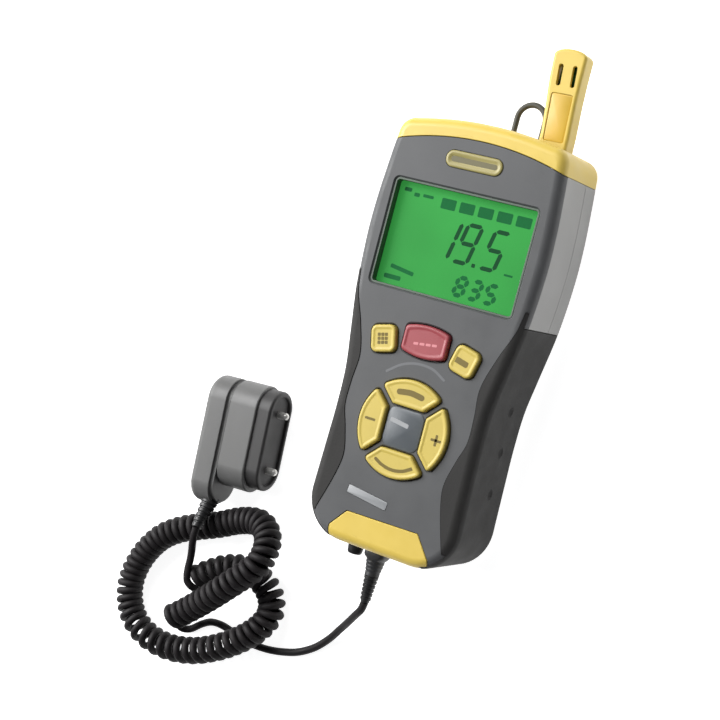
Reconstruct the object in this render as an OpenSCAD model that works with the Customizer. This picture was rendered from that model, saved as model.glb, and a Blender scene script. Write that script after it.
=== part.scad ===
// Handheld environment meter with a remote contact-pin probe on a curly lead.
// Units are millimetres. The meter lies on its back: +Z leaves the display side, +Y runs towards
// the sensor stalk, and the origin is the middle of the flat back that the meter rests on.

/* [Case] */
// Length of the case, from its bottom end to the top of the cap
case_length = 169.6; // [166:0.2:172]
// Width of the case at its widest, beside the display
case_width = 77; // [75:0.5:79]
// Thickness of the case, from its back to its front panel
case_depth = 38; // [36.5:0.5:40]
// Thickness of the back plate
back_plate = 2.5; // [2:0.1:3]
// Thickness of the front plate
front_plate = 3.2; // [3:0.1:3.6]
// Side wall, rubber grip and plastic together
side_wall = 4.2; // [4:0.1:4.8]
// Thickness of the rubber grip on the side
grip_skin = 2.2; // [1.8:0.1:2.4]
// Height of the parting line between the two half shells
split_height = 14; // [12:0.5:15]

/* [Display] */
// Width of the display opening
display_width = 62; // [58:0.5:63]
// Height of the display opening
display_height = 42.1; // [40:0.1:44]
// Middle of the display, above the middle of the case
display_middle = 37; // [36:0.1:38]

/* [Keys] */
// Side of the two small top keys
small_key = 10.7; // [10:0.1:11]
// Width of the power key
power_key_width = 19.2; // [18:0.1:19.4]
// Height of the power key
power_key_height = 12.8; // [12:0.1:13.6]
// Outer radius of the ring of four keys
ring_radius = 19.3; // [18:0.1:20]
// Width of the bridges between the ring keys
ring_bridge = 2.7; // [2.4:0.1:3.2]
// How far a key stands above the panel
key_rise = 1.6; // [1.2:0.1:1.8]
// Play all round a key in its opening
key_play = 0.35; // [0.3:0.05:0.4]

/* [Sensor stalk] */
// How far the stalk reaches above the middle of the case
stalk_top = 120; // [116:0.5:122]
// Thickness of the stalk from back to front
stalk_depth = 8.5; // [8:0.1:9]

/* [Plug] */
// Radius of the plug's tip
tip_radius = 1.75; // [1.5:0.05:1.8]
// Running clearance of the tip in the socket
tip_play = 0.05; // [0.02:0.01:0.08]
// Length of the tip inside the socket
tip_length = 14; // [12:0.5:14.5]

/* [Probe] */
// Length of the probe block across its pins
probe_length = 55; // [52:0.5:57]
// Thickness of the probe block
probe_depth = 20; // [19:0.5:21]
// Turn of the probe block on the table, in degrees
probe_turn = 3; // [0:0.5:5]

/* [Lead] */
// Diameter of the lead
lead_diameter = 3.2; // [2.8:0.1:3.2]
// Outer diameter of the curly part
curl_diameter = 12.8; // [12:0.2:12.8]

/* [Hidden] */
$fn = 48;
eps = 0.01;                                  // overshoot of a cutter past the face it opens

bottom = -case_length / 2;                   // bottom end of the case
half_width = case_width / 2;
edge_r = 4;                                  // rounding of the back and front edges
corner_r = 17;                               // bottom corners
corner_x = 0.4132 * half_width;              // middle of a bottom corner
corner_y = bottom + corner_r;
shoulder_r = 7;                              // top corners
shoulder_x = 0.94 * half_width - shoulder_r;
shoulder_y = -bottom - 9.8;
crown_r = 150;                               // arc of the top end
cap_arc_r = 119;                             // arc of the cap's lower edge
cap_edge = -bottom - 7;                      // top of that arc, in the middle
grip_top = 14;                               // upper end of a grip's side skin
grip_end = 20.8;                             // where it ends on the bottom, from the middle

// Half the case's width at heights along it, as [height, share of the widest]
WAIST = [[corner_y, 0.8545], [-48, 0.840], [-34, 0.832], [-19, 0.842], [-5, 0.893],
    [15, 0.968], [35, 1.0], [50, 0.993], [66, 0.962], [shoulder_y, 0.94]];
// Inner edge of a grip on the front, as [height, share of the widest]
GRIP_EDGE = [[-76, 0.740], [-60, 0.612], [-51, 0.576], [-41, 0.637], [-33, 0.702], [-23, 0.702],
    [-12, 0.684], [0, 0.772], [12, 0.893], [20, 0.93]];

// Levels inside the case, measured up from its back
panel_in = case_depth - front_plate;         // inner face of the front plate
board_bottom = panel_in - 5.2;
board_top = panel_in - 3.6;                  // the board is 1.6 thick
mat_top = board_top + 0.8;
flange_bottom = panel_in - 1.6;
flange_top = panel_in - 0.2;
lens_top = panel_in + 0.1;
lens_bottom = lens_top - 1;
glass_top = lens_bottom - 0.1;
glass_bottom = glass_top - 1.2;
lip_bottom = case_depth - 1.4;               // underside of a grip's front lip

keys_y = -3.8;                               // the two small top keys
keys_x = 17.7;
keys_fan = 14;                               // they lean outwards at the top, in degrees
power_y = -0.9;
ring_y = -35.3;                              // middle of the ring of keys
island = 8;                                  // half the side of the fixed island in the ring

SCREWS = [[-26, 68], [26, 68], [-22, -68], [22, -68]];
screw_r = 1.5;

jack_x = -6;                                 // the plug's axis
port_x = -16;                                // the stopper's axis
jack_z = 19;

probe_x = -101.5;                            // back of the probe block
probe_y = -67;
probe_seam = 12;                             // depth of the rear shell
front_shell_end = 26;
nose_end = 32.5;

// Route of the lead from the probe's strain relief to the curly part
PROBE_ROUTE = [[-92, -104.5, 17.6], [-92.4, -108, 17.2], [-93, -112, 15.8], [-93.6, -116, 13.8],
    [-94.2, -120, 12.3], [-94.6, -123.5, 11.7], [-94.4, -126.8, 11.5], [-93.6, -129.5, 11.4]];

// Middle line of the curly part: round the big loop, over itself in a low hump, and down
CURL_ROUTE = [[-94, -129.5, 6.5], [-87, -124, 6.5], [-79, -119, 6.5], [-70, -116.5, 6.5],
    [-62, -118, 6.5], [-55.5, -122.5, 6.5], [-52.5, -129, 7], [-54, -135.5, 8.6],
    [-58.5, -141.5, 9.8], [-65.5, -147.5, 10], [-74, -153, 9], [-84.5, -158, 7.5],
    [-97, -161, 6.5], [-109.5, -160, 6.5], [-119, -154.5, 6.5], [-124, -145.5, 6.5],
    [-124.5, -136, 6.5], [-121, -125.5, 6.5], [-114.5, -116.5, 6.5], [-106, -110.4, 6.5],
    [-97.5, -106.5, 6.5], [-88, -102.5, 6.5], [-77, -97.2, 7.4], [-67, -95, 9.6], [-60, -98, 13],
    [-56.8, -103.5, 16.8], [-57.5, -110, 19.6], [-63, -116.8, 20.3], [-69.5, -123.5, 19.6],
    [-77, -130.5, 17], [-84.5, -137, 14.2], [-91.5, -143, 12.4], [-96.5, -147, 11.8]];

// Route of the lead from the end of the curly part to the plug's strain relief
METER_ROUTE = [[-96, -148.5, 7.4], [-95.5, -151.5, 4.4], [-92, -151.5, 1.9], [-87, -147.5, 1.6],
    [-82.5, -145, 1.6], [-77, -144.5, 1.6], [-71, -145.5, 1.6], [-65, -146.5, 1.6],
    [-59, -147, 1.6], [-52, -146.5, 1.6], [-45, -145, 1.6], [-38, -142.5, 1.6], [-31, -138, 1.8],
    [-25, -132, 3], [-19.5, -125.5, 6.5], [-14.5, -120, 11], [-10, -115, 15.4],
    [-7, -111.5, 18.2], [-6, -108, 19]];

// ---------- curves and outlines ----------

// Slope of a list of [place, value] points at point i
function slope(list, i) =
    let (a = list[max(i - 1, 0)], b = list[min(i + 1, len(list) - 1)]) (b[1] - a[1]) / (b[0] - a[0]);

// Value at a place on the smooth curve through a list of [place, value] points
function smooth_at(list, y, i = 0) =
    (i < len(list) - 2 && y > list[i + 1][0]) ? smooth_at(list, y, i + 1)
    : let (p = list[i], q = list[i + 1], d = q[0] - p[0], t = min(max((y - p[0]) / d, 0), 1))
        (2 * pow(t, 3) - 3 * t * t + 1) * p[1] + (pow(t, 3) - 2 * t * t + t) * d * slope(list, i)
        + (3 * t * t - 2 * pow(t, 3)) * q[1] + (pow(t, 3) - t * t) * d * slope(list, i + 1);

// Half the width of the case at height y, that far inside its wall
function side_x(y, inset) = y < corner_y
    ? corner_x + sqrt(max(pow(corner_r - inset, 2) - pow(y - corner_y, 2), 0))
    : half_width * smooth_at(WAIST, y) - inset;

// Outline of the case, that far inside its wall, as one half from bottom to top
function half_outline(inset) = concat(
    [for (a = [-90:15:-15]) [corner_x + (corner_r - inset) * cos(a), corner_y + (corner_r - inset) * sin(a)]],
    [for (y = [corner_y:6.5:shoulder_y - 4]) [side_x(y, inset), y]],
    [for (a = [0:15:75])
        [shoulder_x + (shoulder_r - inset) * cos(a), shoulder_y + (shoulder_r - inset) * sin(a)]],
    [for (x = [28:-7:7]) [x, -bottom - inset - x * x / (2 * crown_r)]]);

function outline(inset) = let (h = half_outline(inset), n = len(h))
    concat(h, [[0, -bottom - inset]], [for (i = [n - 1:-1:0]) [-h[i][0], h[i][1]]]);

// A slab of the case between two levels
module slab(low, high, inset) {
    translate([0, 0, low]) linear_extrude(high - low) polygon(outline(inset));
}

// A closed skin over levels of the outline, each [height, how far inside the wall]
module loft(levels) {
    n = len(outline(0));
    points = [for (v = levels) for (p = outline(v[1])) [p[0], p[1], v[0]]];
    walls = [for (i = [0:len(levels) - 2]) for (k = [0:n - 1])
        let (a = i * n + k, b = i * n + (k + 1) % n) each [[a, a + n, b], [b, a + n, b + n]]];
    base = [for (k = [0:n - 1]) k];
    lid = [for (k = [n - 1:-1:0]) (len(levels) - 1) * n + k];
    polyhedron(points, concat(walls, [base], [lid]));
}

// The outer body of the case between two levels, with its back and front edges rounded
module case_body(low = 0, high = case_depth) {
    back = [for (a = [90:-18:0]) [edge_r * (1 - sin(a)), edge_r * (1 - cos(a))]];
    front = [for (a = [0:18:90]) [case_depth - edge_r * (1 - sin(a)), edge_r * (1 - cos(a))]];
    loft(concat(low < edge_r ? back : [[low, 0]], high > case_depth - edge_r ? front : [[high, 0]]));
}

module rounded_rect(w, h, r) {
    square([w - 2 * r, h], center = true);
    square([w, h - 2 * r], center = true);
    for (sx = [-1, 1]) {
        for (sy = [-1, 1]) {
            translate([sx * (w / 2 - r), sy * (h / 2 - r)]) circle(r);
        }
    }
}

module rounded_plate(w, h, r, low, high) {
    translate([0, 0, low]) linear_extrude(high - low) rounded_rect(w, h, r);
}

// A cylinder that runs along +Y from a place on the lead's side of the case
module along_y(x, y, z, length, r1, r2) {
    translate([x, y, z]) rotate([-90, 0, 0]) cylinder(h = length, r1 = r1, r2 = r2);
}

// ---------- zones that split the case into its pieces ----------

// The right grip: a skin round the side and the bottom corner, and a lip on the front panel
module grip_zone() {
    far = half_width + 5;
    skin_bottom = 4;
    lip_ys = [for (y = [-76:4:20]) y];
    translate([0, 0, skin_bottom]) linear_extrude(lip_bottom - skin_bottom) difference() {
        translate([grip_end, bottom - 5]) square([far - grip_end, grip_top - bottom + 5]);
        polygon(outline(grip_skin));
    }
    translate([0, 0, lip_bottom]) linear_extrude(case_depth - lip_bottom + 1)
        polygon(concat([[far, 20], [far, -76]],
            [for (y = lip_ys) [half_width * smooth_at(GRIP_EDGE, y), y]]));
}

module cap_zone() {
    translate([0, 0, -1]) linear_extrude(case_depth + 2) difference() {
        translate([-60, 60]) square([120, 60]);
        translate([0, cap_edge - cap_arc_r]) circle(cap_arc_r, $fn = 96);
    }
}

// The bottom cap: an inlay in the front panel and a plate on the bottom end
module bottom_zone() {
    translate([0, 0, case_depth - 2]) linear_extrude(4)
        polygon([[-14.5, -72.2], [17, -71.6], [23.5, -80], [23.5, -90], [-20.5, -90], [-20.5, -79.4]]);
    translate([-18, bottom - 1, 9]) cube([38, 3.2, case_depth]);
}

// ---------- keys ----------

module small_key_shape(grow) { rounded_rect(small_key + 2 * grow, small_key + 2 * grow, 2.6 + grow); }

module power_key_shape(grow) {
    intersection() {
        rounded_rect(power_key_width + 2 * grow, power_key_height + 2 * grow, 3.2 + grow);
        translate([0, -9]) circle(16 + grow, $fn = 96);
        translate([0, 9]) circle(16 + grow, $fn = 96);
    }
}

// One of the four keys of the ring; quarter 0 is the top one, and they go round clockwise
module ring_key_shape(quarter, grow) {
    reach = ring_radius + 10;
    rotate(-90 * quarter) intersection() {
        difference() {
            circle(ring_radius + grow, $fn = 96);
            rounded_rect(2 * (island + 0.6 - grow), 2 * (island + 0.6 - grow), 2.4);
        }
        translate([0, ring_bridge * 0.7071 - grow * 1.4142])
            polygon([[0, 0], [reach, reach], [-reach, reach]]);
    }
}

// A key: a cap through the panel on a wider flange that keeps it in
module key_body(where, turn) {
    translate([where[0], where[1], 0]) rotate(turn) {
        translate([0, 0, flange_top - eps])
            linear_extrude(case_depth + key_rise - flange_top + eps) children(0);
        translate([0, 0, flange_bottom]) linear_extrude(flange_top - flange_bottom) children(1);
    }
}

module key_hole(where, turn) {
    translate([where[0], where[1], panel_in - 1]) rotate(turn) linear_extrude(front_plate + 2) children();
}

module key_left() {
    color([0.93, 0.82, 0.33]) key_body([-keys_x, keys_y], keys_fan) {
        small_key_shape(0);
        small_key_shape(0.9);
    }
}

module key_right() {
    color([0.93, 0.82, 0.33]) key_body([keys_x, keys_y], -keys_fan) {
        small_key_shape(0);
        small_key_shape(0.9);
    }
}

// Its flange widens only up and down, clear of the two keys beside it
module key_power() {
    color([0.70, 0.27, 0.30]) key_body([0, power_y], 0) {
        power_key_shape(0);
        square([power_key_width - 4, power_key_height + 1.8], center = true);
    }
}

module ring_key(quarter) {
    color([0.93, 0.82, 0.33]) key_body([0, ring_y], 0) {
        ring_key_shape(quarter, 0);
        ring_key_shape(quarter, 0.8);
    }
}

module key_up() { ring_key(0); }
module key_next() { ring_key(1); }
module key_down() { ring_key(2); }
module key_back() { ring_key(3); }

// ---------- case ----------

module front_case() {
    color([0.43, 0.43, 0.44]) difference() {
        case_body(split_height, case_depth);
        difference() {
            slab(split_height - 1, panel_in, side_wall);
            for (p = SCREWS) translate([p[0], p[1], 0]) cylinder(h = case_depth, r = 3.2);
        }
        for (p = SCREWS) translate([p[0], p[1], 0]) cylinder(h = panel_in - 4, r = screw_r + 0.05);
        cap_zone();
        bottom_zone();
        grip_zone();
        mirror([1, 0, 0]) grip_zone();
        translate([0, display_middle, 0])
            rounded_plate(display_width, display_height, 2, panel_in - 1, case_depth + 1);
        key_hole([-keys_x, keys_y], keys_fan) small_key_shape(key_play);
        key_hole([keys_x, keys_y], -keys_fan) small_key_shape(key_play);
        key_hole([0, power_y], 0) power_key_shape(key_play);
        for (q = [0:3]) key_hole([0, ring_y], 0) ring_key_shape(q, key_play);
        translate([0, 69.3, 0]) rounded_plate(24.6, 7.1, 3.5, case_depth - 0.8, case_depth + 1);
        translate([-7.5, -64.6, 0]) rotate(-7)
            rounded_plate(18.4, 3.6, 0.5, case_depth - 0.5, case_depth + 1);
        along_y(jack_x, bottom - 1, jack_z, 7, 3.4, 3.4);
        along_y(port_x, bottom - 1, jack_z, 7, 2.6, 2.6);
    }
}

module rear_case() {
    color([0.58, 0.57, 0.56]) difference() {
        union() {
            difference() {
                case_body(0, split_height);
                slab(back_plate, split_height + 1, side_wall);
            }
            for (p = SCREWS) translate([p[0], p[1], 1]) cylinder(h = split_height - 1, r = 4.2);
            for (sx = [-1, 1]) {
                translate([sx * 19.5 - 0.7, -68, 2]) cube([1.4, 58, 11]);
                translate([sx * 18.3 - 1.9, -68, 2]) cube([3.8, 58, 1.4]);
            }
            translate([-20, -11.4, 2]) cube([40, 1.4, 11]);
        }
        for (p = SCREWS) {
            translate([p[0], p[1], -1]) cylinder(h = 4.2, r = 3);
            translate([p[0], p[1], 0]) cylinder(h = split_height + 1, r = 1.8);
        }
        translate([-17, -90, -1]) cube([34, 78, 2.3]);
        translate([-18.4, -90, 1.2]) cube([36.8, 78, 1.35]);
        cap_zone();
        bottom_zone();
        grip_zone();
        mirror([1, 0, 0]) grip_zone();
    }
}

module grip_right() {
    color([0.24, 0.23, 0.23]) difference() {
        intersection() {
            case_body();
            grip_zone();
        }
        bottom_zone();
    }
}

module grip_left() {
    color([0.24, 0.23, 0.23]) difference() {
        intersection() {
            case_body();
            mirror([1, 0, 0]) grip_zone();
        }
        bottom_zone();
    }
}

module top_cap() {
    color([0.95, 0.84, 0.36]) difference() {
        intersection() {
            case_body();
            cap_zone();
        }
        slab(back_plate, panel_in, side_wall);
        stalk();
    }
}

module bottom_cap() {
    color([0.93, 0.85, 0.38]) difference() {
        intersection() {
            case_body();
            bottom_zone();
        }
        along_y(jack_x, bottom - 1, jack_z, 7, 3.4, 3.4);
        along_y(port_x, bottom - 1, jack_z, 7, 2.6, 2.6);
    }
}

module badge() {
    color([0.80, 0.72, 0.36]) translate([0, 69.3, 0])
        rounded_plate(24, 6.5, 3.2, case_depth - 0.8, case_depth + 0.4);
}

module nameplate() {
    color([0.62, 0.62, 0.61]) translate([-7.5, -64.6, 0]) rotate(-7)
        rounded_plate(18, 3.2, 0.4, case_depth - 0.5, case_depth + 0.1);
}

// ---------- display ----------

module lcd_bezel() {
    color([0.20, 0.20, 0.20]) translate([0, display_middle, 0]) difference() {
        rounded_plate(display_width - 0.1, display_height - 0.1, 1.9, glass_top, case_depth - 0.6);
        rounded_plate(display_width - 1.7, display_height - 1.7, 1.2, glass_top - 1, case_depth + 1);
    }
}

module lcd_lens() {
    color([0.80, 0.90, 0.80, 0.35]) translate([0, display_middle, 0])
        rounded_plate(display_width - 1.8, display_height - 1.8, 1.1, lens_bottom, lens_top);
}

module lcd_panel() {
    color([0.29, 0.73, 0.34]) translate([0, display_middle, 0])
        rounded_plate(display_width + 3, display_height + 2, 0.6, glass_bottom, glass_top);
}

module backlight() {
    color([0.85, 0.95, 0.85]) translate([0, display_middle, 0])
        rounded_plate(display_width + 1, display_height, 0.6, board_top, glass_bottom);
}

module main_board() {
    color([0.10, 0.38, 0.22]) difference() {
        intersection() {
            slab(board_bottom, board_top, side_wall + 1);
            translate([-50, -76, 0]) cube([100, 150, 50]);
        }
        for (p = SCREWS) translate([p[0], p[1], 0]) cylinder(h = case_depth, r = 3.6);
    }
}

module keypad_mat() {
    color([0.75, 0.75, 0.72]) translate([0, -24.5, 0]) rounded_plate(50, 62, 3, board_top, mat_top);
}

// ---------- power, sound and sockets ----------

module battery() {
    color([0.16, 0.16, 0.17]) {
        translate([-13.2, -65, 3.4]) cube([26.4, 46.5, 17.4]);
        along_y(-6.3, -18.6, 12, 2.9, 2.9, 2.9);
        along_y(6.3, -18.6, 12, 2.9, 3.8, 3.8);
    }
}

module battery_snap() {
    color([0.12, 0.12, 0.12]) translate([-13, -15.4, 4.5]) cube([26, 3, 15]);
}

// A plate that slides off towards the bottom end, on a tongue down each side
module battery_cover() {
    color([0.56, 0.55, 0.54]) {
        translate([-16.7, bottom + 1.5, 0.3]) cube([33.4, -12.4 - bottom - 1.5, 1.9]);
        translate([-18, bottom + 8, 1.5]) cube([36, -12.4 - bottom - 8, 0.7]);
    }
}

module buzzer() {
    color([0.10, 0.10, 0.10]) translate([20, -46, board_bottom - 4.5]) difference() {
        cylinder(h = 4.5, r = 6);
        translate([0, 0, -1]) cylinder(h = 2, r = 1);
    }
}

module jack_socket() {
    color([0.10, 0.10, 0.11]) difference() {
        union() {
            translate([jack_x - 5, bottom + side_wall, jack_z - 4.6]) cube([10, 13.4, 9.2]);
            along_y(jack_x, bottom + 0.4, jack_z, side_wall + 2, 3.3, 3.3);
        }
        along_y(jack_x, bottom - 1, jack_z, 16.2, tip_radius + tip_play, tip_radius + tip_play);
    }
}

// A rubber stopper that closes the spare port
module port_stopper() {
    color([0.08, 0.08, 0.08]) {
        along_y(port_x, bottom - 0.3, jack_z, 5.6, 2.5, 2.5);
        along_y(port_x, bottom - 6.4, jack_z, 6.2, 3.0, 3.4);
    }
}

module case_screw(i) {
    color([0.60, 0.60, 0.62]) translate([SCREWS[i][0], SCREWS[i][1], 0]) {
        difference() {
            translate([0, 0, 0.7]) cylinder(h = 2.4, r = 2.8);
            for (a = [0, 90]) rotate(a) translate([-1.7, -0.35, 0]) cube([3.4, 0.7, 1.7]);
        }
        translate([0, 0, 3]) cylinder(h = panel_in - 8, r = screw_r);
    }
}

module case_screw_1() { case_screw(0); }
module case_screw_2() { case_screw(1); }
module case_screw_3() { case_screw(2); }
module case_screw_4() { case_screw(3); }

// ---------- sensor stalk ----------

stalk_z = 20.7;                              // middle of the stalk's thickness
stalk_dome = 2.8;                            // height of its rounded head
STALK_SIDE = [[16.9, 80.2], [17, 88], [15.6, 100], [14.6, 108], [14.1, stalk_top - stalk_dome]];
STALK_FAR = [[27.7, stalk_top - stalk_dome], [27.8, 108], [28.1, 100], [28.9, 88], [29.1, 80.2]];

module stalk() {
    dome = [for (a = [150:-30:30]) [20.9 + 7 * cos(a), stalk_top - stalk_dome * (1 - sin(a))]];
    translate([0, 0, stalk_z - stalk_depth / 2]) linear_extrude(stalk_depth)
        polygon(concat(STALK_SIDE, dome, STALK_FAR));
}

module sensor_housing() {
    color([0.93, 0.78, 0.27]) difference() {
        stalk();
        translate([16.6, 102.5, stalk_z - 2.7]) cube([9.2, 13, 5.4]);
        for (x = [18.2, 24]) translate([x, 106, stalk_z - 8]) cube([1.4, 7.6, 16]);
        translate([21.4, 79, stalk_z - 1.5]) cube([4, 25, 3]);
    }
}

module sensor_element() {
    color([0.15, 0.42, 0.26]) {
        translate([17.4, 103, stalk_z - 0.4]) cube([7.6, 11.6, 0.8]);
        translate([20.2, 107, stalk_z]) cube([3, 4, 1.6]);
    }
}

// A wire loop for a wrist strap, standing out of the back half of the cap
module strap_loop() {
    loop_x = 5.2;
    loop_y = 92.6;
    loop_z = 9;
    loop_r = 6;
    wire_r = 1.2;
    root = -bottom - 1.6;
    color([0.12, 0.12, 0.12]) {
        translate([loop_x, loop_y, loop_z]) rotate_extrude(angle = 180) translate([loop_r, 0]) circle(wire_r);
        for (sx = [-1, 1]) along_y(loop_x + sx * loop_r, root, loop_z, loop_y - root, wire_r, wire_r);
    }
}

// ---------- plug and lead ----------

module plug_tip() {
    color([0.80, 0.78, 0.70]) along_y(jack_x, bottom - 0.4, jack_z, tip_length + 0.4, tip_radius, tip_radius);
}

module plug_body() {
    color([0.16, 0.16, 0.17]) {
        translate([jack_x - 4.6, bottom - 4.4, jack_z - 4]) cube([9.2, 4, 8]);
        along_y(jack_x, bottom - 12.2, jack_z, 8, 3, 4);
    }
}

module plug_boot() {
    color([0.10, 0.10, 0.10]) along_y(jack_x, bottom - 23.2, jack_z, 11, 2.1, 3);
}

// Unit vectors for a tube's rings: across the route, and up from it
function unit(v) = v / norm(v);
function heading(route, i) = unit(route[min(i + 1, len(route) - 1)] - route[max(i - 1, 0)]);
function ring_point(route, i, r, a) =
    let (t = heading(route, i), n = unit(cross([0, 0, 1], t)), b = cross(t, n))
    route[i] + r * (cos(a) * n + sin(a) * b);

// A closed tube swept along a route, with that many sides
module tube(route, r, sides) {
    rings = len(route);
    points = [for (i = [0:rings - 1]) for (k = [0:sides - 1])
        ring_point(route, i, r, 360 * (k + 0.5) / sides)];
    walls = [for (i = [0:rings - 2]) for (k = [0:sides - 1])
        let (a = i * sides + k, b = i * sides + (k + 1) % sides)
            each [[a, a + sides, b], [b, a + sides, b + sides]]];
    first = [[for (k = [0:sides - 1]) k]];
    last = [[for (k = [sides - 1:-1:0]) (rings - 1) * sides + k]];
    polyhedron(points, concat(walls, first, last));
}

module meter_lead() { color([0.13, 0.12, 0.13]) tube(METER_ROUTE, lead_diameter / 2, 8); }
module probe_lead() { color([0.13, 0.12, 0.13]) tube(PROBE_ROUTE, lead_diameter / 2, 8); }
module curly_cord() { color([0.17, 0.15, 0.16]) tube(CURL_ROUTE, curl_diameter / 2, 12); }

// ---------- probe ----------

// A slice of the probe block, from u1 to u2 along its axis, that much smaller all round
module probe_slice(u1, u2, inset) {
    half = probe_length / 2 - inset;
    r = probe_depth / 2 - inset;
    translate([u1, 0, probe_depth / 2]) rotate([90, 0, 90]) linear_extrude(u2 - u1) {
        square([2 * (half - r), 2 * r], center = true);
        for (s = [-1, 1]) translate([s * (half - r), 0]) circle(r);
    }
}

module at_probe() { translate([probe_x, probe_y, 0]) rotate([0, 0, probe_turn]) children(); }

// The same slice, cut short at the end that the lead leaves
module short_slice(u1, u2, inset, cut) {
    intersection() {
        probe_slice(u1, u2, inset);
        translate([0, cut, 0]) probe_slice(u1, u2, inset);
    }
}

// A round rod along the block's axis, at a place across it
module probe_rod(y, u1, u2, r) {
    translate([u1, y, probe_depth / 2]) rotate([0, 90, 0]) cylinder(h = u2 - u1, r = r);
}

PROBE_PINS = [-7.5, 16.5];                   // the two pins, along the block
PROBE_SCREWS = [-14, 21];
front_cut = 9;                               // how much shorter the front shell is
nose_cut = 10.1;
nose_inset = 1;                              // how much smaller the nose is, all round
pin_reach = 2.2;                             // how far a pin stands out of the nose, below its dome
seam_inset = 1.3;                            // depth of the groove between the two shells
probe_wall = 3.3;                            // walls of the two shells
probe_floor = 2.6;                           // back plate of the rear shell
front_chamfer = 0.6;                         // on the front shell's face
nose_chamfer = 0.8;                          // on the nose's face
probe_edge = 3.2;                            // rounding of the back edge

// The probe block from its back to a depth, with its back edge stepped round a quarter circle.
// The slices lie inside one another, so that they join as one body.
module probe_back(depth) {
    for (a = [75, 45]) probe_slice(probe_edge * (1 - sin(a + 15)), depth, probe_edge * (1 - cos(a)));
    probe_slice(probe_edge / 2, depth, 0);
}

module probe_rear_shell() {
    color([0.49, 0.49, 0.48]) at_probe() difference() {
        union() {
            probe_back(probe_seam - 1.6);
            probe_slice(probe_seam - 2, probe_seam, seam_inset);
        }
        short_slice(probe_floor, probe_seam + 1, probe_wall, front_cut);
        for (y = PROBE_SCREWS) {
            probe_rod(y, -1, 1.5, 2.5);
            probe_rod(y, 0, 4, 1.4);
        }
    }
}

module probe_front_shell() {
    color([0.52, 0.52, 0.51]) at_probe() difference() {
        union() {
            difference() {
                union() {
                    short_slice(probe_seam, front_shell_end - 1, seam_inset, front_cut);
                    short_slice(probe_seam + 0.8, front_shell_end - front_chamfer, 0, front_cut);
                    short_slice(probe_seam + 1, front_shell_end, front_chamfer, front_cut);
                }
                short_slice(probe_seam - 1, front_shell_end - 1.5, probe_wall, front_cut);
            }
            for (y = PROBE_SCREWS) probe_rod(y, probe_seam, front_shell_end - 1, 2.4);
        }
        for (y = PROBE_SCREWS) probe_rod(y, probe_seam - 1, 20, 1.25);
        for (y = PROBE_PINS) probe_rod(y, 20, 40, 1.55);
    }
}

module probe_nose() {
    color([0.27, 0.27, 0.26]) at_probe() difference() {
        union() {
            short_slice(front_shell_end, nose_end - nose_chamfer, nose_inset, nose_cut);
            short_slice(front_shell_end, nose_end, nose_inset + nose_chamfer, nose_cut);
        }
        short_slice(nose_end - 1.3, nose_end + 1, nose_inset + 2.2, nose_cut);
        for (y = PROBE_PINS) probe_rod(y, 20, 40, 1.55);
    }
}

// A turned metal pin with a domed end, standing on the probe's board
module probe_pin(i) {
    color([0.78, 0.77, 0.74]) at_probe() {
        probe_rod(PROBE_PINS[i], 19, nose_end + pin_reach, 1.5);
        translate([nose_end + pin_reach, PROBE_PINS[i], probe_depth / 2]) sphere(1.5);
    }
}

module probe_pin_1() { probe_pin(0); }
module probe_pin_2() { probe_pin(1); }

module probe_board() {
    color([0.10, 0.38, 0.22]) at_probe() translate([17.4, -10.4, 4.6]) cube([1.6, 28.6, 10.8]);
}

module probe_screw(i) {
    color([0.60, 0.60, 0.62]) at_probe() {
        probe_rod(PROBE_SCREWS[i], 0.3, 1.5, 2.3);
        probe_rod(PROBE_SCREWS[i], 1.5, 16, 1.2);
    }
}

module probe_screw_1() { probe_screw(0); }
module probe_screw_2() { probe_screw(1); }

// A tapered strain relief, from the probe's end up over the loop of the lead
module probe_boot() {
    root = [-92, -91.4, 11.6];
    run = PROBE_ROUTE[0] - root;
    color([0.10, 0.10, 0.10]) translate(root)
        rotate([0, acos(run[2] / norm(run)), atan2(run[1], run[0])])
            cylinder(h = norm(run), r1 = 4, r2 = 2.2);
}

front_case();
rear_case();
grip_left();
grip_right();
top_cap();
bottom_cap();
badge();
nameplate();
lcd_bezel();
lcd_lens();
lcd_panel();
backlight();
main_board();
keypad_mat();
key_left();
key_power();
key_right();
key_up();
key_next();
key_down();
key_back();
battery();
battery_snap();
battery_cover();
buzzer();
jack_socket();
port_stopper();
case_screw_1();
case_screw_2();
case_screw_3();
case_screw_4();
sensor_housing();
sensor_element();
strap_loop();
plug_body();
plug_tip();
plug_boot();
meter_lead();
curly_cord();
probe_lead();
probe_boot();
probe_rear_shell();
probe_front_shell();
probe_nose();
probe_pin_1();
probe_pin_2();
probe_board();
probe_screw_1();
probe_screw_2();
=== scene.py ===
"""Looks of the handheld environment meter, its probe and its curly lead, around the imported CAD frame.

Lengths are in millimetres in the CAD frame until a mesh is made, and MM turns them into metres.
"""
import math

import bpy
import numpy as np
from mathutils import Matrix, Vector


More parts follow.
